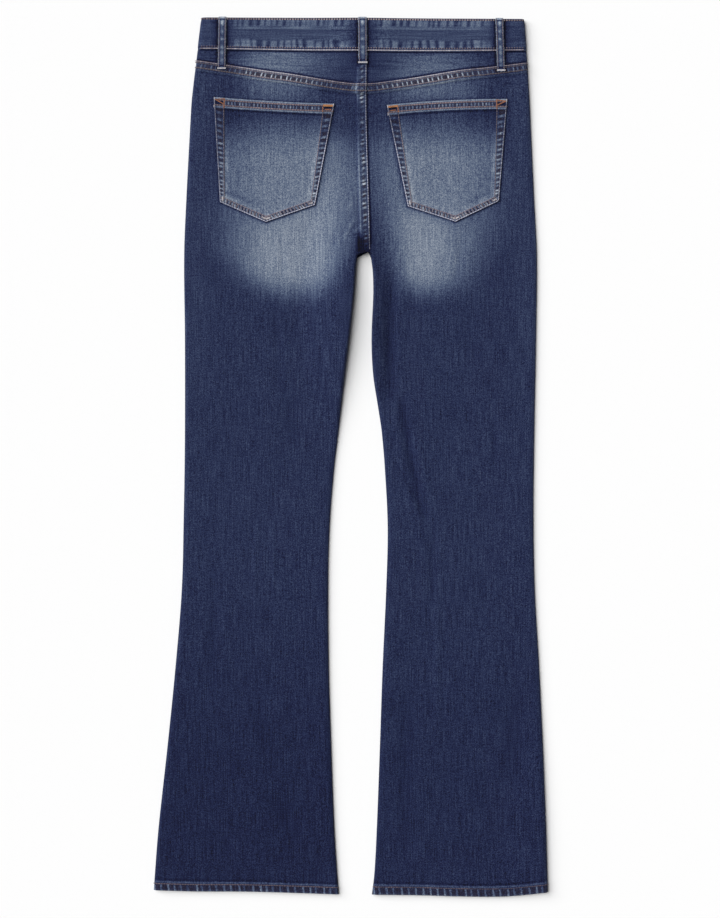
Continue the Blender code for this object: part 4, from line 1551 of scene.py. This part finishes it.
def band_profile(v):
    """The waistband's swell across its depth: rounded edges and a shallow valley at each stitch row."""
    low, high = v, BAND_DEPTH - v
    edge = -0.55 * bell(low, 0.9) - 0.7 * bell(high, 1.2)
    rows = -0.22 * bell(low - 2.0, 0.9) - 0.22 * bell(high - 2.4, 0.9)
    return edge + rows + 0.35 * smooth(low / 9.0) * smooth(high / 9.0)


def band_pucker(x, v):
    low = bell(v - 6.5, 5.0) * (BAND_LOW_KNOTS(x) - 0.4) * 0.5
    high = bell(BAND_DEPTH - v - 7.0, 4.5) * (BAND_HIGH_KNOTS(x + 3.0) - 0.4) * 0.4
    return low + high


def band_tone(x, v, side):
    """Waistband wash: worn ropes above the lower seam and below the top edge, a pale line between."""
    worn = (1.0 if side == "back" else 0.6) * (0.24 + 0.76 * smooth((190.0 - np.abs(x - FLY_X)) / 50.0))
    top = BAND_DEPTH - v
    slow = np.sin(x / 7.0 + 2.0 * np.sin(x / 31.0))
    low_zone = smooth((v - 4.0) / 1.0) * smooth((14.4 + 1.2 * slow - v) / 2.0)
    high_zone = smooth((top - 2.0) / 1.0) * smooth((11.4 + 0.8 * slow - top) / 1.6)
    low = smooth((BAND_LOW_KNOTS(x + 0.15 * v * slow) - 0.12) / 0.42) * low_zone
    tone = coated(
        0.28 + 0.12 * worn + 0.03 * worn * np.sin(v * 1.9 + slow),
        # the ground of the ropes, the lower and the upper ropes
        (0.24, 0.9 * worn * np.maximum(low_zone, 0.9 * high_zone)),
        (0.30 + (0.52 - 0.015 * v) * worn, low * (1 - 0.25 * bell(v - 9.0, 1.6))),
        (0.30 + 0.32 * worn, smooth((BAND_HIGH_KNOTS(x + 3.0 - 0.1 * v) - 0.10) / 0.5) * high_zone),
        # the pale line between the ropes, with the dark one below it
        (0.24, 0.6 * worn * bell(v - 25.4, 1.0)),
        (0.36 + 0.30 * worn, 0.9 * bell(v - 28.3, 1.4) * (0.75 + 0.25 * slow)),
        # the lower row's groove with unfaded cloth and painted shade, its fold, then the lower edge in
        # painted shade and the darker top with its pale edge
        (0.10, 0.8 * bell(v - 3.4, 1.0)),
        (0.72 - 0.24 * (1 - worn), 0.9 * bell(v - 1.7, 1.0)),
        (0.05, 0.85 * smooth((0.9 - v) / 0.8)),
        (0.12, 0.9 * smooth((3.0 - top) / 0.8)),
        (0.45, 0.7 * bell(top, 0.7)),
    )
    return washed(shaded(tone, x, BAND_MIDDLE_Y + 0.0 * x, 12.0) if side == "back" else tone)


def band_section(run, share, f):
    """Outer face, inner face and wash of one run of the waistband; f is 0 at its lower edge."""
    y_guess = waist_y(0.0) - BAND_DEPTH * (1 - f)
    flat_left, flat_right = side_x("left", y_guess) + EDGE_CURL, side_x("right", y_guess) - EDGE_CURL
    centre = centre_x(y_guess)
    start, end = {
        "front_under": (centre - BAND_LAP, flat_right),
        "right_fold": (flat_right, flat_right),
        "back": (flat_right, flat_left),
        "left_fold": (flat_left, flat_left),
        "front_over": (flat_left, centre + BAND_LAP),
    }[run]
    x = start + (end - start) * share
    side = "front" if run.startswith("front") else "back"
    low = band_seam_y(x, side) + SEAM_GAP / 2
    y = low + (band_top_y(x, side) - low) * f
    v = f * BAND_DEPTH
    swell = band_profile(v)
    bottom = front_base(x, y_guess) - BAND_PROUD_FRONT
    top = back_top(x, y_guess) + BAND_PROUD_BACK
    x_in = x
    if run.endswith("fold"):
        middle, half = (bottom + top) / 2, (top - bottom) / 2
        reach, rise = (1 if run == "right_fold" else -1) * np.cos(share), -np.sin(share)
        x, x_in = x + (EDGE_CURL + swell) * reach, x + (EDGE_CURL - BAND_WALL) * reach
        z, z_in = middle + (half + swell) * rise, middle + (half - BAND_WALL) * rise
    elif run == "back":
        z = top + swell + band_pucker(x, v) * smooth(share * 20.0) * smooth((1 - share) * 20.0)
        z_in = top - BAND_WALL
    else:
        if run == "front_under":
            climb = smooth((centre + BAND_LAP + 2.0 + BAND_RAMP - x) / BAND_RAMP)
            bottom = bottom + climb * (BAND_WALL + SEAM_GAP)
        z, z_in = bottom - swell * (1 - 0.6 * (swell > 0)), bottom + BAND_WALL
    return stacked(x, y, z), stacked(x_in, y, z_in), band_tone(start + (end - start) * share, v, side)


def build_waistband():
    marks = (0.0, 1.5, BAND_DEPTH - 1.5, BAND_DEPTH)
    f = graded(0.0, BAND_DEPTH, marks, fine=0.55, coarse=1.5, reach=3.0)[:, None] / BAND_DEPTH
    folds = np.radians(np.linspace(90, -90, 15))[None, 1:-1]
    parts = [
        band_section(run, share + 0.0 * f, f + 0.0 * share)
        for run, share in (
            ("front_under", np.linspace(0, 1, 110)[None]),
            ("right_fold", folds),
            ("back", np.linspace(0, 1, 290)[None]),
            ("left_fold", folds[:, ::-1]),
            ("front_over", np.linspace(0, 1, 110)[None]),
        )
    ]
    outer, inner, tone = (np.concatenate(kind, axis=1) for kind in zip(*parts))
    cloth = denim("washed_band_denim", quarter_turn=True, streaks=0.9, slubs=0.9, grain=0.95)
    yokes = [f"back_yoke_{leg}" for leg in LEGS]
    return lay("waist_band", "waistband", "band_denim", outer, inner, tone, cloth, yokes)


def loop_bed(side, x, y):
    """Outer face of what a belt loop crosses: the waistband, then the cloth below it."""
    low = band_seam_y(x, side)
    v = (y - low) / (band_top_y(x, side) - low) * BAND_DEPTH
    on_band = smooth((v + 2.5) / 3.5)
    if side == "front":
        return front_base(x, y) - BAND_PROUD_FRONT * on_band
    band = back_top(x, y) + BAND_PROUD_BACK + band_profile(np.clip(v, 2.0, 38.0))
    return toward(back_surface(x, y), band, on_band)


def loop_stand(side, s):
    """How far a belt loop stands off what it crosses, from s = 0 at its lower end to 1 at the top."""
    return LOOP_STAND + LOOP_PROUD[side] * np.sin(np.pi * np.clip((s - 0.12) / 0.8, 0, 1)) ** 0.7


# Places across a belt loop from edge to edge, as shares of half its width
LOOP_LANES = (-1.0, -0.93, -0.82, -0.68, -0.5, -0.25, 0.0, 0.25, 0.5, 0.68, 0.82, 0.93, 1.0)


def build_belt_loop(name):
    side, x_top, x_low, y_low = BELT_LOOPS[name]
    back = side == "back"
    sign = 1 if back else -1
    y_top = band_top_y(x_top, side) + (1.0 if back else -0.6)
    u = np.array(LOOP_LANES)[None, :]
    s = np.linspace(0.0, 1.0, 62)[:, None]
    y = y_low + (y_top - y_low) * s + 0.0 * u
    middle = x_low + (x_top - x_low) * s
    x = middle + u * (loop_width(x_top) / 2 + 0.3 * np.sin(s * 23.0) * np.sin(s * 57.0))
    ends = 0.5 * smooth((0.07 - s) / 0.05) - 1.6 * smooth((s - 0.965) / 0.035) * back
    thick = LOOP_THICKNESS + 0.25 * (1 - u * u) + 0.35 * (LOOP_KNOTS(y) - 0.3) * back * (1 - 0.5 * u * u)
    crown = -0.45 * np.abs(u) ** 5 - 0.12 * bell(np.abs(u) - 0.72, 0.09)
    z_in = loop_bed(side, middle + 0.0 * u, y) + sign * (loop_stand(side, s) + ends)
    z = z_in + sign * (thick + crown)
    tone = coated(
        0.34 + (0.10 + 0.52 * LOOP_KNOTS(y + 0.6 * u)) * bell(u, 0.5) + 0.25 * smooth((s - 0.80) / 0.12),
        # beside the middle, both edges, the shadows under its lower and upper ends, the folded top
        (0.26, 0.7 * bell(np.abs(u) - 0.55, 0.14)),
        (0.84, 0.9 * bell(u + 0.95, 0.12)),
        (0.78, 0.9 * bell(u - 0.95, 0.12)),
        (0.02, 0.9 * bell(y - y_low - 4.8, 1.4)),
        (0.04, 0.9 * bell(s - 0.945, 0.013) * smooth((0.95 - np.abs(u)) / 0.2)),
        (1.02, 0.85 * smooth((s - 0.955) / 0.015)),
    )
    cloth = denim("washed_loop_denim", streaks=0.8, slubs=1.2)
    return lay(
        name + "_strip", name, "band_denim", stacked(x, y, z), stacked(x, y, z_in), washed(tone), cloth,
        ("waist_band",),
    )


# ---------------------------------------------------------------- stitched paths


def wear(x, y):
    """How worn the back is at a place, from 0 to 1."""
    leg_tone = np.where(x < centre_x(y), fade_tone("left", x, y), fade_tone("right", x, y))
    return wear_of(leg_tone)


STITCH_LIFT = 0.12
POCKET_STITCH_LIFT = 0.1
TACK_LIFT = 0.15


def path_on_back(x, y, worn=None):
    return stacked(x, y, back_surface(x, y) + STITCH_LIFT, wear(x, y) if worn is None else worn)


def path_on_front(x, y, sink=0.0):
    z = front_base(x, y) + FRONT_RAISE + front_relief(x, y) + sink
    return stacked(x, y, z - 0.02)


def yoke_rows(offset):
    """One row along each half of the yoke seam, running on over the curled side."""
    rows = []
    for leg in LEGS:
        start = side_x(leg, 495.0) + inward_of(leg) * 1.0
        x = np.linspace(start, centre_x(YOKE_POINT_Y) + (5.2 if leg == "left" else 6.0), 160)
        rows.append(path_on_back(x, yoke_seam_y(x) + offset))
    return rows


def centre_row(offset, foot):
    y = np.linspace(516.0, foot, 200)
    seat = 0.5 * smooth((430.0 - y) / 60.0) - 0.45 * smooth((360.0 - y) / 60.0)
    worn = 0.35 + seat - 0.4 * smooth((300.0 - y) / 40.0)
    return path_on_back(centre_x(y) + offset, y, worn=worn)


def hem_rows(path, inset, count, **rest):
    """One row above each trouser hem, on the back or the front by its path rule."""
    rows = []
    for leg in LEGS:
        inset_here = inward_of(leg) * inset
        x = np.linspace(side_x(leg, HEM_ROW_Y) + inset_here, inside_x(leg, HEM_ROW_Y) - inset_here, count)
        rows.append(path(x, hem_y(leg, x) + HEM_DEPTH[leg] - HEM_ROW_DROP, **rest))
    return rows


def pocket_point(leg, x, y):
    z = back_top(x, y) + back_relief(x, y) + pocket_relief(leg, x, y) + POCKET_STITCH_LIFT
    return stacked(x, y, z, np.clip(wear(x, y) + 0.1 * smooth((400.0 - y) / 60.0), 0.0, 1.0))


def pocket_rows(leg):
    """The pocket's outer row, its inner row, the two rows of its hem and the matted rows at its foot."""
    edges = pocket_edges(leg)
    share = np.linspace(0.0, 1.0, 70)
    lanes = []
    for (start, along, into, length), kind in zip(edges[1:], POCKET_LANES):
        allowance = pocket_allowance(kind == "foot", 1 - share if kind == "down" else share)
        lanes.append((start + along * (share * length)[:, None], into, allowance))
    sides = []
    for fixed, clear, most in (
        # the row's own depth if it has one, its distance from the top edge, its depth where rows meet
        (0.9, 0.6, 0.85),
        (None, 2.5, 5.4),
    ):
        wanted = [allowance if fixed is None else allowance * 0 + fixed for _, _, allowance in lanes]
        plan = np.concatenate([at + into * depth[:, None] for (at, into, _), depth in zip(lanes, wanted)])
        top, *lower = pocket_depths(leg, *plan.T)
        limit = np.minimum(np.concatenate(wanted), most) - 0.35
        keep = (np.min([found[0] for found in lower], axis=0) > limit) & (top[0] > clear)
        sides.append([pocket_point(leg, *plan[keep].T)])
    start, along, into, length = edges[0]
    run = np.linspace(2.5, length - 2.5, 90)[:, None]
    hem = []
    for depth in (3.2, POCKET_HEM - 3.4):
        at = start + along * run + into * (depth - pocket_bow(leg, run / length))
        hem.append(pocket_point(leg, *at.T))
    matted = [
        pocket_point(leg, *(at + into * depth)[3:-3].T)
        for at, into, _ in lanes[1:3]
        for depth in (2.8, 4.4, 6.1)
    ]
    return *sides, hem, matted


def band_point(x, v, side):
    y = band_y(x, v, side)
    if side == "front":
        return stacked(x, y, front_base(x, y) - BAND_PROUD_FRONT - band_profile(v) - 0.08)
    z = back_top(x, y) + BAND_PROUD_BACK + band_profile(v) + band_pucker(x, v) + STITCH_LIFT
    return stacked(x, y, z, 0.25 + 0.6 * smooth((200.0 - np.abs(x - FLY_X)) / 120.0))


def band_rows(v):
    """A row along the waistband at the height v above its lower edge, on the back and on the front."""
    left, right = side_x("left", BAND_ENDS_Y), side_x("right", BAND_ENDS_Y)
    rows = []
    for side, low, high, count in (
        ("back", left + 5.0, right - 5.0, 320),
        ("front", left + 8.0, FLY_X + BAND_LAP - 2.0, 160),
        ("front", FLY_X + BAND_LAP + 2.0, right - 8.0, 160),
    ):
        x = np.linspace(low, high, count)
        rows.append(band_point(x, v + 0.0 * x, side))
    return rows


def loop_rows():
    rows = []
    for side, x_top, x_low, y_low in BELT_LOOPS.values():
        sign = 1 if side == "back" else -1
        y_top = band_top_y(x_top, side) - 1.5
        y = np.linspace(y_low + 1.5, y_top, 60)
        s = (y - y_low) / (y_top + 2.0 - y_low)
        x = x_low + (x_top - x_low) * s
        knob = 0.18 * LOOP_KNOTS(y) * (side == "back")
        z = loop_bed(side, x, y) + sign * (loop_stand(side, s) + 1.22 + knob)
        rows += [stacked(x + edge * 0.76 * loop_width(x_top) / 2, y, z) for edge in (-1, 1)]
    return rows


def fly_rows():
    """The curved double row of the fly, and the row on each side of the lapped front seam."""
    rows = []
    for inset in (0.0, 5.0):
        reach = FLY_ROW_REACH - inset
        y = np.linspace(FLY_ROW_TOP, FLY_ROW_BEND, 40)
        turn = np.radians(np.linspace(180, 262, 40))
        x_bend = centre_x(FLY_ROW_BEND) + (reach - 2.0) * np.cos(turn) - 2.0
        y_bend = FLY_ROW_BEND + (48.0 - inset) * np.sin(turn)
        rows.append(path_on_front(np.append(centre_x(y) - reach, x_bend), np.append(y, y_bend)))
    y = np.linspace(FLY_ROW_TOP, 275.0, 120)
    return rows + [path_on_front(centre_x(y) + offset, y) for offset in (-2.4, 2.4)]


def scoop_rows():
    rows = []
    for leg in LEGS:
        inward = inward_of(leg)
        x = side_x(leg, 470.0) + inward * np.linspace(4.0, SCOOP_WIDTH - 1.0, 90)
        slope = np.gradient(scoop_y(leg, x), x)
        steep = np.sqrt(1 + slope**2)
        for depth in (1.6, 7.6):
            px, py = x + depth * slope / steep, scoop_y(leg, x) - depth / steep
            keep = inward * (px - side_x(leg, py)) > 3.0
            rows.append(path_on_front(px[keep], py[keep]))
    return rows


def pocket_stroke(leg, start, end):
    """A short straight line of thread on a pocket, between two places."""
    x, y = (np.array(start) + (np.array(end) - np.array(start)) * np.linspace(0, 1, 12)[:, None]).T
    return stacked(x, y, pocket_point(leg, x, y)[:, 2] + TACK_LIFT)


def pocket_tacks(leg):
    """Reinforcing tacks: a bar at the inner top corner, then the lines round both corners."""
    start, along, into, length = pocket_edges(leg)[0]
    if leg == "right":
        start, along = start + along * length, -along

    def at(s, depth):
        return start + along * s + into * (depth - pocket_bow(leg, s / length))

    bars = (
        # run and depth at each end
        (length - 14.0, 2.2, length - 2.2, 2.2),
        (length - 14.0, 3.4, length - 2.2, 3.4),
    )
    lines = (
        (14.0, 1.2, 14.0, 12.6),
        (13.6, 1.4, 2.4, 2.9),
        (2.4, 2.9, 13.6, 8.2),
        (length - 14.4, 4.6, length - 14.4, 10.8),
        (length - 11.6, 7.8, length - 3.8, 7.8),
    )
    return [[pocket_stroke(leg, at(*row[:2]), at(*row[2:])) for row in rows] for rows in (bars, lines)]


def pocket_dots(leg):
    """Small pale tacks at the pocket's low corners, its tip and the ends of its hem."""
    edges = pocket_edges(leg)
    dots = []
    for k, from_end in ((2, False), (2, True), (3, False), (4, False)):
        start, along, into, length = edges[k]
        if from_end:
            start, along = start + along * length, -along
        for inset in (3.2, 4.2):
            low = start + along * 2.0 + into * inset
            dots.append(pocket_stroke(leg, low, start + along * 6.6 + into * inset))
    start, along, into, length = edges[0]
    for s, top, foot in ((1.2, 0.6, 3.4), (1.4, 10.4, 13.2), (length - 1.2, 0.6, 3.4)):
        at = start + along * s
        dots.append(pocket_stroke(leg, at + into * top, at + into * foot))
    return dots


def loop_tacks():
    tacks = []
    for side, x_top, x_low, y_low in BELT_LOOPS.values():
        half = loop_width(x_top) / 2 + 0.2
        x = np.linspace(x_low - half, x_low + half, 10)
        y = 0.0 * x + y_low + 1.6
        tacks.append(stacked(x, y, loop_bed(side, 0.0 * x + x_low, y) + LOOP_TACK_HEIGHT[side]))
    return tacks


# ---------------------------------------------------------------- fly and button

BUTTON_RINGS = (
    # radius, z
    (0.0, 1.00),
    (2.6, 0.94),
    (3.3, 0.70),
    (4.1, 0.94),
    (6.0, 0.78),
    (6.7, 0.42),
    (7.6, 0.34),
    (8.3, 0.62),
    (8.6, 1.15),
    (8.6, 1.90),
    (8.1, 2.40),
    (3.4, 2.60),
    (3.0, 3.05),
    (0.0, 3.10),
)
BUTTON_SIDES = 64


def metal(name, colour, dark, roughness):
    """Old brass, dark in patches."""
    material, tree, shader = new_material(name, {"Metallic": 1.0})
    patches = noise(tree, object_place(tree), METAL_GRAIN, detail=4.0, roughness=0.6)
    share = maths(tree, "MULTIPLY_ADD", patches, 2.2, 0.5)
    rough = maths(tree, "MULTIPLY_ADD", patches, 0.5, roughness)
    fill(shader, {"Base Color": blend(tree, share, (*dark, 1.0), (*colour, 1.0)), "Roughness": rough})
    return material


def build_button():
    shape = bmesh.new()
    rim = [shape.verts.new((radius * MM, 0.0, z * MM)) for radius, z in BUTTON_RINGS]
    edges = [shape.edges.new(pair) for pair in zip(rim, rim[1:])]
    bmesh.ops.spin(
        shape, geom=rim + edges, axis=(0, 0, 1), cent=(0, 0, 0), angle=2 * math.pi, steps=BUTTON_SIDES,
        use_merge=True,
    )
    bmesh.ops.remove_doubles(shape, verts=shape.verts, dist=0.00002)
    bmesh.ops.translate(shape, verts=shape.verts, vec=(centre_x(BUTTON_Y) * MM, BUTTON_Y * MM, 0.0))
    bmesh.ops.recalc_face_normals(shape, faces=shape.faces)
    mesh = bpy.data.meshes.new("waist_button")
    shape.to_mesh(mesh)
    shape.free()
    brass = metal("antique_brass", colour=(0.46, 0.27, 0.13), dark=(0.13, 0.08, 0.05), roughness=0.34)
    smoothed(mesh, METAL_CREASE_ANGLE, brass)
    return dress(placed("waist_button", mesh), "button")


def build_fly(settings):
    """The zip's tape and the shield behind it, then the teeth as two rows of short bars."""
    y = np.linspace(FLY_FOOT, FLY_TOP, 60)[:, None] + np.zeros((1, 13))
    u = np.linspace(0, 1, 13)
    for name, stands_for, slot, left, right, height, wall, tone, cloth, behind in (
        # left and right are places beside the centre seam
        (
            "zip_tape_strip", "zip", "zip_tape", -13.0, 13.0, ZIP_HEIGHT, 0.6, 0.14,
            denim("washed_zip_tape", streaks=0.3, slubs=0.3, grain=0.8), "fly_shield_strip",
        ),
        (
            "fly_shield_strip", "fly_shield", "leg_denim", -14.0, 28.0, SHIELD_HEIGHT, 1.0, 0.26,
            denim("washed_leg_denim"), "zip_tape_strip",
        ),
    ):
        x = centre_x(y) + left + (right - left) * u
        z = front_base(x, y) + height
        faces = stacked(x, y, z), stacked(x, y, z + wall)
        lay(name, stands_for, slot, *faces, washed(tone + 0.0 * x), cloth, (behind,))
    y = np.linspace(FLY_FOOT + 6.0, FLY_TOP - 6.0, 80)
    z = front_base(centre_x(y), y) + TEETH_HEIGHT
    rows = [stacked(centre_x(y) + offset, y, z) for offset in (-TEETH_HALF, TEETH_HALF)]
    brass = metal("zip_brass", colour=(0.52, 0.36, 0.17), dark=(0.20, 0.13, 0.07), roughness=0.4)
    teeth = {
        "Pitch": 0.0021, "Stitch Length": 0.0012, "Thread Width": 0.0034, "Thread Height": 0.0011,
        "Seed": settings.seed, "Thread": brass,
    }
    return sew("zip_teeth", rows, teeth)


# ---------------------------------------------------------------- settings and operators


FLOOR_REACH = 8.0
LENS = 90.0
SENSOR_WIDTH = 36.0
CAMERA_PLACE = (0.0114, -0.0025)


class JeansSettings(bpy.types.PropertyGroup):
    """Sizes and lights that a user may change before building."""

    leg_step: bpy.props.FloatProperty(
        name="Leg Step", description="Spacing of the cloth's rows down the leg, in millimetres",
        default=4.6, min=2.0, max=12.0,
    )
    stitch_pitch: bpy.props.FloatProperty(
        name="Stitch Pitch", description="Distance from one stitch to the next", default=0.0033,
        unit="LENGTH", subtype="DISTANCE",
    )
    thread_width: bpy.props.FloatProperty(
        name="Thread Width", description="Width of the sewing thread", default=0.00105,
        unit="LENGTH", subtype="DISTANCE",
    )
    seed: bpy.props.IntProperty(
        name="Seed", description="Seed of the small unevenness of the stitches", default=4,
    )
    view_distance: bpy.props.FloatProperty(
        name="Camera Height", description="Height of the camera above the floor", default=2.921,
        unit="LENGTH", subtype="DISTANCE",
    )
    key_strength: bpy.props.FloatProperty(
        name="Key Light", description="Strength of the large light at the upper left", default=2.75,
    )
    fill_strength: bpy.props.FloatProperty(
        name="Fill Light", description="Strength of the light from above", default=1.82,
    )
    room_strength: bpy.props.FloatProperty(
        name="Room Light", description="Strength of the even light of the room", default=0.1,
    )
    floor_colour: bpy.props.FloatVectorProperty(
        name="Floor", description="Colour of the pale floor", default=(0.83, 0.83, 0.83), subtype="COLOR",
        size=3, min=0.0, max=1.0,
    )


class JEANS_OT_back_panels(bpy.types.Operator):
    """Build the two back panels"""

    bl_idname = "jeans.back_panels"
    bl_label = "Back Panels"

    def execute(self, context):
        for leg in LEGS:
            build_back_panel(leg, context.scene.jeans)
        return {"FINISHED"}


class JEANS_OT_yokes(bpy.types.Operator):
    """Build the back yokes"""

    bl_idname = "jeans.yokes"
    bl_label = "Yokes"

    def execute(self, context):
        for leg in LEGS:
            build_yoke(leg)
        return {"FINISHED"}


class JEANS_OT_back_pockets(bpy.types.Operator):
    """Build the two patch pockets on the seat"""

    bl_idname = "jeans.back_pockets"
    bl_label = "Back Pockets"

    def execute(self, context):
        for leg in LEGS:
            build_back_pocket(leg)
        return {"FINISHED"}


class JEANS_OT_front_panels(bpy.types.Operator):
    """Build the front panels and the facings behind the pocket mouths"""

    bl_idname = "jeans.front_panels"
    bl_label = "Front Panels"

    def execute(self, context):
        for leg in LEGS:
            build_front_panel(leg, context.scene.jeans)
            build_pocket_facing(leg)
        return {"FINISHED"}


class JEANS_OT_waistband(bpy.types.Operator):
    """Build the waistband and its belt loops"""

    bl_idname = "jeans.waistband"
    bl_label = "Waistband"

    def execute(self, context):
        build_waistband()
        for name in BELT_LOOPS:
            build_belt_loop(name)
        return {"FINISHED"}


class JEANS_OT_fly(bpy.types.Operator):
    """Build the zip, its shield and the waist button"""

    bl_idname = "jeans.fly"
    bl_label = "Fly and Button"

    def execute(self, context):
        build_fly(context.scene.jeans)
        build_button()
        return {"FINISHED"}


class JEANS_OT_topstitching(bpy.types.Operator):
    """Sew the rows of topstitching and the bar tacks"""

    bl_idname = "jeans.topstitching"
    bl_label = "Topstitching"

    def execute(self, context):
        settings = context.scene.jeans
        width, pitch = settings.thread_width, settings.stitch_pitch
        plain = {
            "Pitch": pitch, "Stitch Length": pitch * 1.15, "Thread Width": width * 1.3,
            "Thread Height": width * 0.6, "Seed": settings.seed,
        }
        broad = {
            **plain, "Stitch Length": pitch * 1.2, "Thread Width": width * 2.1, "Thread Height": width * 0.5,
        }
        wide = {**plain, "Stitch Length": pitch * 1.4, "Thread Width": width * 1.45}
        dotted = {**plain, "Pitch": 0.0033, "Stitch Length": 0.0025, "Thread Width": 0.0023}
        fine = {**dotted, "Stitch Length": 0.0018, "Thread Width": 0.0016}
        matted = {
            **plain, "Pitch": 0.0046, "Stitch Length": 0.0026, "Thread Width": 0.0012,
            "Slant": math.radians(28), "Seed": settings.seed + 3,
        }
        flat = {**plain, "Thread Height": 0.0005}
        tack = {
            "Pitch": 0.00045, "Stitch Length": 0.0018, "Thread Width": 0.0006, "Thread Height": 0.0006,
            "Slant": math.radians(82), "Seed": settings.seed,
        }
        short, long = {**tack, "Stitch Length": 0.0013}, {**tack, "Stitch Length": 0.0024}
        outer, inner, hems, matting = (sum(rows, []) for rows in zip(*map(pocket_rows, LEGS)))
        bars, lines = (sum(rows, []) for rows in zip(*map(pocket_tacks, LEGS)))
        dots = sum(map(pocket_dots, LEGS), [])
        pale = yoke_rows(YOKE_SEAM_HALF - 0.7) + band_rows(1.9)
        centre = [centre_row(CENTRE_SEAM_HALF - 0.6, foot=265.0)]
        brown = yoke_rows(3.3) + loop_rows() + inner
        hems_below = hem_rows(path_on_back, inset=0.8, count=200)
        front = fly_rows() + scoop_rows() + hem_rows(path_on_front, inset=9.0, count=160, sink=0.14)
        for name, rows, how, colour, slot in (
            ("pale_topstitching", pale, wide, "cream", "band_denim"),
            ("pocket_outer_stitching", outer, plain, "pale", "band_denim"),
            ("centre_topstitching", centre, plain, "grey", "band_denim"),
            ("yoke_backstitching", yoke_rows(-3.0), broad, "brown", "band_denim"),
            ("brown_topstitching", brown, plain, "brown", "band_denim"),
            ("pocket_foot_matting", matting, matted, "brown", "band_denim"),
            ("pocket_hem_stitching", hems, broad, "copper", "band_denim"),
            ("copper_topstitching", hems_below, plain, "copper", "band_denim"),
            ("band_top_stitching", band_rows(BAND_DEPTH - 1.9), dotted, "tan", "band_denim"),
            ("band_seam_stitching", band_rows(4.5), fine, "copper", "band_denim"),
            ("front_topstitching", front, flat, "copper", "front_denim"),
            ("pocket_bar_tacks", bars, tack, "orange", "pocket_denim"),
            ("pocket_line_tacks", lines, tack, "rust", "pocket_denim"),
            ("corner_tacks", dots, short, "white", "pocket_denim"),
            ("loop_tacks", loop_tacks(), long, "white", "band_denim"),
        ):
            sew(name, rows, {**how, "Thread": thread("thread_" + colour)})
        return {"FINISHED"}


class JEANS_OT_stage(bpy.types.Operator):
    """Set the pale floor, the studio light and the camera"""

    bl_idname = "jeans.stage"
    bl_label = "Stage"

    def execute(self, context):
        scene = context.scene
        settings = scene.jeans
        scene.view_settings.view_transform = "Standard"
        mesh = bpy.data.meshes.new("floor")
        corners = [(x * FLOOR_REACH, y * FLOOR_REACH, 0) for x, y in ((-1, -1), (1, -1), (1, 1), (-1, 1))]
        mesh.from_pydata(corners, [], [(0, 1, 2, 3)])
        colour = (*settings.floor_colour, 1.0)
        dull = {"Base Color": colour, "Roughness": 1.0, "Specular IOR Level": 0.0}
        mesh.materials.append(new_material("floor_paint", dull)[0])
        placed("floor", mesh)
        for name, strength, width, turn in (
            # width of the sun's disc and its turn about x, y and z, in degrees
            ("key_light", settings.key_strength, 50.0, (0.0, -52.0, -27.0)),
            ("fill_light", settings.fill_strength, 30.0, (0.0, -17.0, -30.0)),
        ):
            light = bpy.data.lights.new(name, "SUN")
            light.energy = strength
            light.angle = math.radians(width)
            placed(name, light).rotation_euler = [math.radians(angle) for angle in turn]
        world = bpy.data.worlds.new("room")
        world.use_nodes = True
        even = {"Color": (1.0, 1.0, 1.0, 1.0), "Strength": settings.room_strength}
        fill(world.node_tree.nodes["Background"], even)
        scene.world = world
        view = bpy.data.cameras.new("camera")
        view.lens = LENS
        view.sensor_width = SENSOR_WIDTH
        scene.camera = placed("camera", view)
        scene.camera.location = (*CAMERA_PLACE, settings.view_distance)
        return {"FINISHED"}


class JEANS_PT_builder(bpy.types.Panel):
    """The builders in the order in which they run"""

    bl_idname = "JEANS_PT_builder"
    bl_label = "Bootcut Jeans"
    bl_space_type = "VIEW_3D"
    bl_region_type = "UI"
    bl_category = "Jeans"

    def draw(self, context):
        settings = context.scene.jeans
        for name in settings.__annotations__:
            self.layout.prop(settings, name)
        for operator in OPERATORS:
            self.layout.operator(operator.bl_idname)


OPERATORS = (
    JEANS_OT_stage,
    JEANS_OT_back_panels,
    JEANS_OT_yokes,
    JEANS_OT_back_pockets,
    JEANS_OT_front_panels,
    JEANS_OT_waistband,
    JEANS_OT_fly,
    JEANS_OT_topstitching,
)


def register():
    for part in (JeansSettings, *OPERATORS, JEANS_PT_builder):
        bpy.utils.register_class(part)
    bpy.types.Scene.jeans = bpy.props.PointerProperty(type=JeansSettings)


def unregister():
    del bpy.types.Scene.jeans
    for part in reversed((JeansSettings, *OPERATORS, JEANS_PT_builder)):
        bpy.utils.unregister_class(part)


def main():
    register()
    for operator in OPERATORS:
        group, name = operator.bl_idname.split(".")
        getattr(getattr(bpy.ops, group), name)()


if __name__ == "__main__":
    main()
